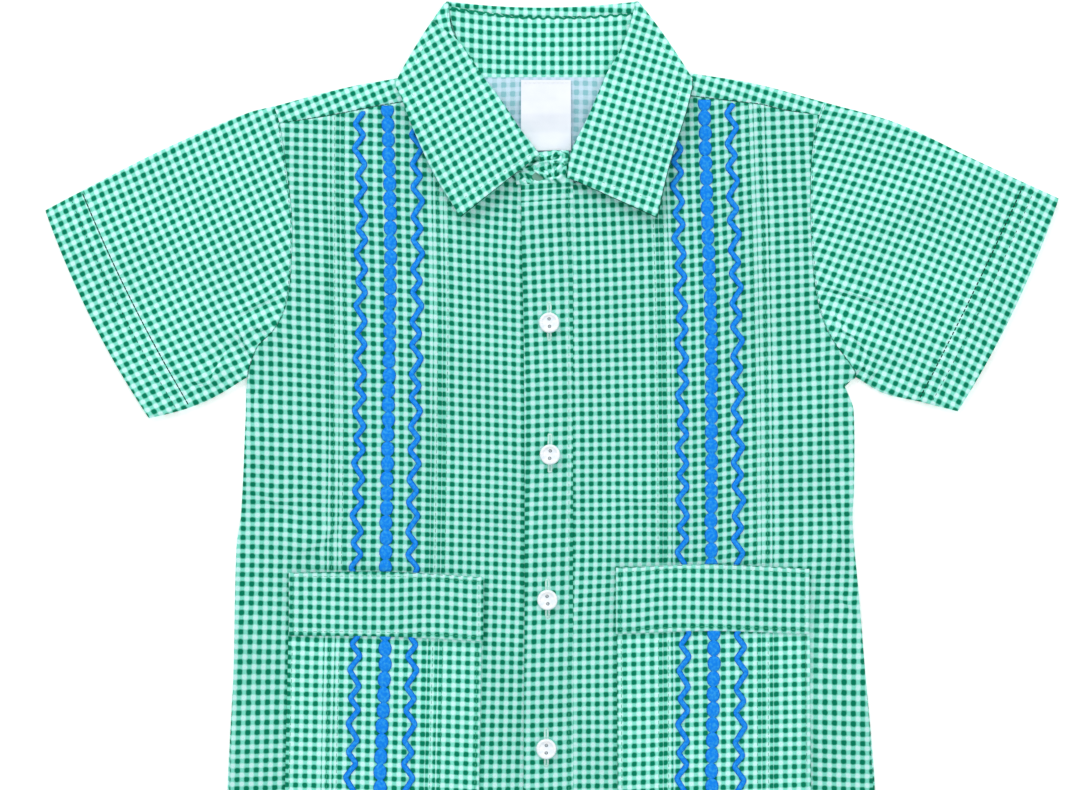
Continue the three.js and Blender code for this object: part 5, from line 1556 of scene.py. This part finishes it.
def chain_band(line, repeat, start, end, height_on, seed):
    """Satin dots in a row, joined by short necks."""
    first, pitch = repeat
    down = np.arange(start, end, STRAND)
    phase = (down - first) / pitch % 1
    bulge = np.sqrt(1 - (2 * phase - 1) ** 2)
    half = lerp(CHAIN["neck"], CHAIN["half"], bulge) + jitter(len(down), 0.07, seed)
    height = lerp(CHAIN["neck_height"], CHAIN["height"], bulge)
    x = line(down) + 0.12 * np.sin(down * 0.35)
    height *= 0.4 + 0.6 * smooth((np.minimum(down - start, end - down) + 0.1) / 1.2)
    return satin(np.stack([x, down, height_on(x, down)], -1), half, height, 0.12, 12)


def zigzag_band(line, way, repeat, start, end, height_on, seed):
    """A satin cord that swings from side to side."""
    first, period = repeat
    step, eased = 0.2, 4  # the swings' corners are rounded over this many steps to either side
    level = start + step * np.arange(-eased, int((end - start) / step) + eased + 1)
    swing = np.interp((level - first) / period % 1, SWINGS["at"], SWINGS["away"])
    swing = np.convolve(swing, np.full(2 * eased + 1, 1 / (2 * eased + 1)), "valid")
    level = level[eased:-eased]
    x = line(level) + way * swing
    along = travelled(np.stack([x, level], -1))
    at = np.arange(0, along[-1], STRAND)
    x, level = np.interp(at, along, x), np.interp(at, along, level)
    half = ZIGZAG["half"] + jitter(len(at), 0.05, seed)
    ends = np.minimum(1, (np.minimum(at, at[-1] - at) + 0.25) / 0.9)
    height = ZIGZAG["height"] * ends**0.5
    return satin(np.stack([x, level, height_on(x, level)], -1), half * ends**0.25, height, 0.12, 8)


def embroider(side, curves):
    """Each line of embroidery in its three stretches: above the pocket, on it, and below it."""

    def on_front(x, down):
        return fronts_height(curves, x, down)

    def on_pocket(x, down):
        return POCKET_TOP - FACE_SINK + pocket_waves(x, down)

    for where in ("chain", "outer", "inner"):
        line = through(side["lines"], "down", where)
        upper, lower = side["repeats"][where]
        band_x = float(line(BAND_MIDDLE))
        top_edge, bottom_edge = float(curves.band_top(band_x)), float(curves.band_bottom(band_x))
        stretches = [
            ("upper", upper, side["first"][where], top_edge + 0.8, on_front),
            ("pocket", lower, bottom_edge - 0.8, POCKET_END - 2, on_pocket),
            ("lower", lower, POCKET_END + 2, LEG_HEM - 2, on_front),
        ]
        for n, (stretch, repeat, start, end, height_on) in enumerate(stretches):
            if where == "chain":
                node = f"chain_{side['name']}_{stretch}"
                band = chain_band(line, repeat, start, end, height_on, n)
            else:
                node = f"zigzag_{where}_{side['name']}_{stretch}"
                way = side["sign"] if where == "outer" else -side["sign"]
                band = zigzag_band(line, way, repeat, start, end, height_on, n + 7)
            piece = satin_piece(f"thread_{node}", [band], BLUE_THREAD)
            dress(piece, [node])


def make_button(number, x, down, turn):
    """A sewn-through button with a rim, a dished face and two holes one above the other."""
    radius, height, hole, apart = 4.5, 2.3, 0.75, 1.65
    profile = [
        (0.02, 0), (radius - 0.7, 0), (radius - 0.25, 0.15), (radius - 0.04, 0.5), (radius, 0.95),
        (radius - 0.04, 1.45), (radius - 0.22, height - 0.28), (radius - 0.5, height - 0.05),
        (radius - 0.8, height), (radius - 1.1, height - 0.08), (radius - 1.4, height - 0.32),
        (radius - 1.7, height - 0.52), (radius - 2.2, height - 0.64), (radius - 3.2, height - 0.7),
        (0.02, height - 0.72),
    ]
    sides = 64
    angle = np.arange(sides) * 2 * np.pi / sides
    away, up = (column[:, None] for column in np.array(profile).T)
    rings = np.broadcast_arrays(away * np.cos(angle), away * np.sin(angle), up)
    places = np.stack(rings, -1).reshape(-1, 3)
    quads = ring_quads(len(profile), sides)
    piece = build(f"pearl_button_{number}", places, quads, places[quads][..., :2], [PEARL], angle=40)
    for offset in (apart, -apart):
        place = (0, offset / 1000, 0)
        bpy.ops.mesh.primitive_cylinder_add(vertices=24, radius=hole / 1000, depth=0.01, location=place)
        drill = bpy.context.object
        cut = piece.modifiers.new("hole", "BOOLEAN")
        cut.operation, cut.object, cut.solver = "DIFFERENCE", drill, "EXACT"
        bpy.context.view_layer.update()
        held = bpy.data.meshes.new_from_object(piece.evaluated_get(bpy.context.evaluated_depsgraph_get()))
        piece.modifiers.clear()
        piece.data = held
        bpy.data.objects.remove(drill)
    base = FRONT_TOP + 2 * LAYER - CLOTH
    a = math.radians(turn)
    piece.location = ((x - MIDDLE_X) / 1000, (MIDDLE_DOWN - down) / 1000, base / 1000)
    piece.rotation_euler = (0, 0, a)
    dress(piece, [f"button_{number}"])
    # The thread that holds the button lies sunk in its holes.
    for offset in (apart, -apart):
        middle = np.array([[x - offset * math.sin(a), down - offset * math.cos(a), base + 0.5]])
        SEWING["white"].append({
            "middle": world(middle),
            "along": np.array([[-math.sin(a), math.cos(a), 0.0]]),
            "normal": np.array([[0.0, 0.0, 1.0]]),
            "length": np.array([1.7 * hole]),
            "width": np.array([1.0]),
            "rise": np.array([0.3]),
        })


def make_buttonholes(spots):
    """A slit between two bars of satin stitch, closed at its ends, behind each button."""
    bands = []
    z = POCKET_TOP - 0.12
    pitch, rise = 0.3, 0.3

    def bar(x0, down0, x1, down1, half):
        count = max(int(math.hypot(x1 - x0, down1 - down0) / pitch), 6)
        t = np.linspace(0, 1, count)
        line = np.stack([lerp(x0, x1, t), lerp(down0, down1, t), np.full(count, z)], -1)
        ends = np.minimum(1, (np.minimum(t, 1 - t) * count * pitch + 0.15) / 0.5)
        bands.append(satin(line, half * ends, rise * ends, 0.0, 8))

    for x, down, _ in spots:
        above, below = down - 8.8, down + 7.5
        for way in (-0.62, 0.62):
            bar(x + way, above, x + way, below, 0.45)
        bar(x - 1.0, above, x + 1.0, above, 0.5)
        bar(x - 1.0, below, x + 1.0, below, 0.5)
    piece = satin_piece("thread_buttonholes", bands, PALE_THREAD)
    dress(piece, [])


left, right = curves_of(LEFT), curves_of(RIGHT)

scene = bpy.context.scene
scene.view_settings.view_transform = "Standard"

# The camera looks straight down, and its picture is 474.1 mm wide 3 mm above the floor.
LENS = 100
SENSOR = 36
PICTURE_WIDTH = 0.4741
camera_data = bpy.data.cameras.new("camera")
camera_data.lens = LENS
camera_data.sensor_width = SENSOR
camera_data.clip_end = 50
camera = bpy.data.objects.new("camera", camera_data)
camera.location = (-0.00527, 0.0891, PICTURE_WIDTH * LENS / SENSOR + 0.003)
scene.collection.objects.link(camera)
scene.camera = camera

dress(make_back(left, right), ["back"])
for side, curves in ((LEFT, left), (RIGHT, right)):
    name = side["name"]
    dress(make_front(side, curves), [f"front_{name}"])
    dress(make_yoke(side, curves), [f"yoke_{name}"])
    dress(make_sleeve(side, curves), [f"sleeve_{name}"])
    dress(make_pocket(side, curves), [f"pocket_{name}"])
    dress(make_band(side, curves), [f"pocket_band_{name}"])
    dress(make_collar_leaf(side), [f"collar_{name}"])
    embroider(side, curves)
dress(make_placket(), ["placket"])
dress(make_collar_back(), ["collar_back"])
dress(make_binding(), ["neck_binding"])
dress(make_label(), ["label"])

BUTTONS = ((-0.1, 141.7, 3), (0.2, 199.5, -5), (-0.9, 263.2, 6), (-1.4, 328.5, -2), (-1.3, 392, 4))
for i, (x, down, turn) in enumerate(BUTTONS):
    make_button(i + 1, x, down, turn)
make_buttonholes(BUTTONS)
for kind, material, slot in (
    ("green", GREEN_THREAD, "gingham"), ("seam", SEAM_THREAD, "gingham"), ("dark", DARK_THREAD_AND_SHADOW, "gingham"),
    ("white", WHITE_THREAD, "button"),
):
    dress(stitch_mesh(f"stitches_{kind}", SEWING[kind], material), [])

# A plain pale floor and soft studio light.
bpy.ops.mesh.primitive_plane_add(size=8, location=(0, 0, -0.0002))
floor = bpy.context.object
floor.name = "floor"
ground = Graph("floor", Roughness=0.9, Specular_IOR_Level=0.1, Emission_Strength=0.22)
speckle = ground.noise(ground.add("ShaderNodeTexCoord").outputs["Object"], 6.0)["Fac"]
white = ground.mix(ground.ranged(speckle, 0.3, 0.7, 0, 1), srgb(255, 255, 255), srgb(253, 253, 254))
floor.data.materials.append(ground.finished(white))

sky = bpy.data.worlds.new("studio")
sky.use_nodes = True
sky.node_tree.nodes["Background"].inputs["Color"].default_value = (1, 1, 1, 1)
sky.node_tree.nodes["Background"].inputs["Strength"].default_value = 0.685
scene.world = sky


def soft_light(name, place, size, power):
    """A square soft light that faces the garment."""
    data = bpy.data.lights.new(name, "AREA")
    data.size, data.energy = size, power
    light = bpy.data.objects.new(name, data)
    light.location = place
    light.rotation_euler = (-light.location).to_track_quat("-Z", "Y").to_euler()
    scene.collection.objects.link(light)


soft_light("key", (-0.9, 1.85, 1.4), 1.2, 27)
soft_light("fill", (1.6, -0.6, 2.2), 2.2, 16.6)
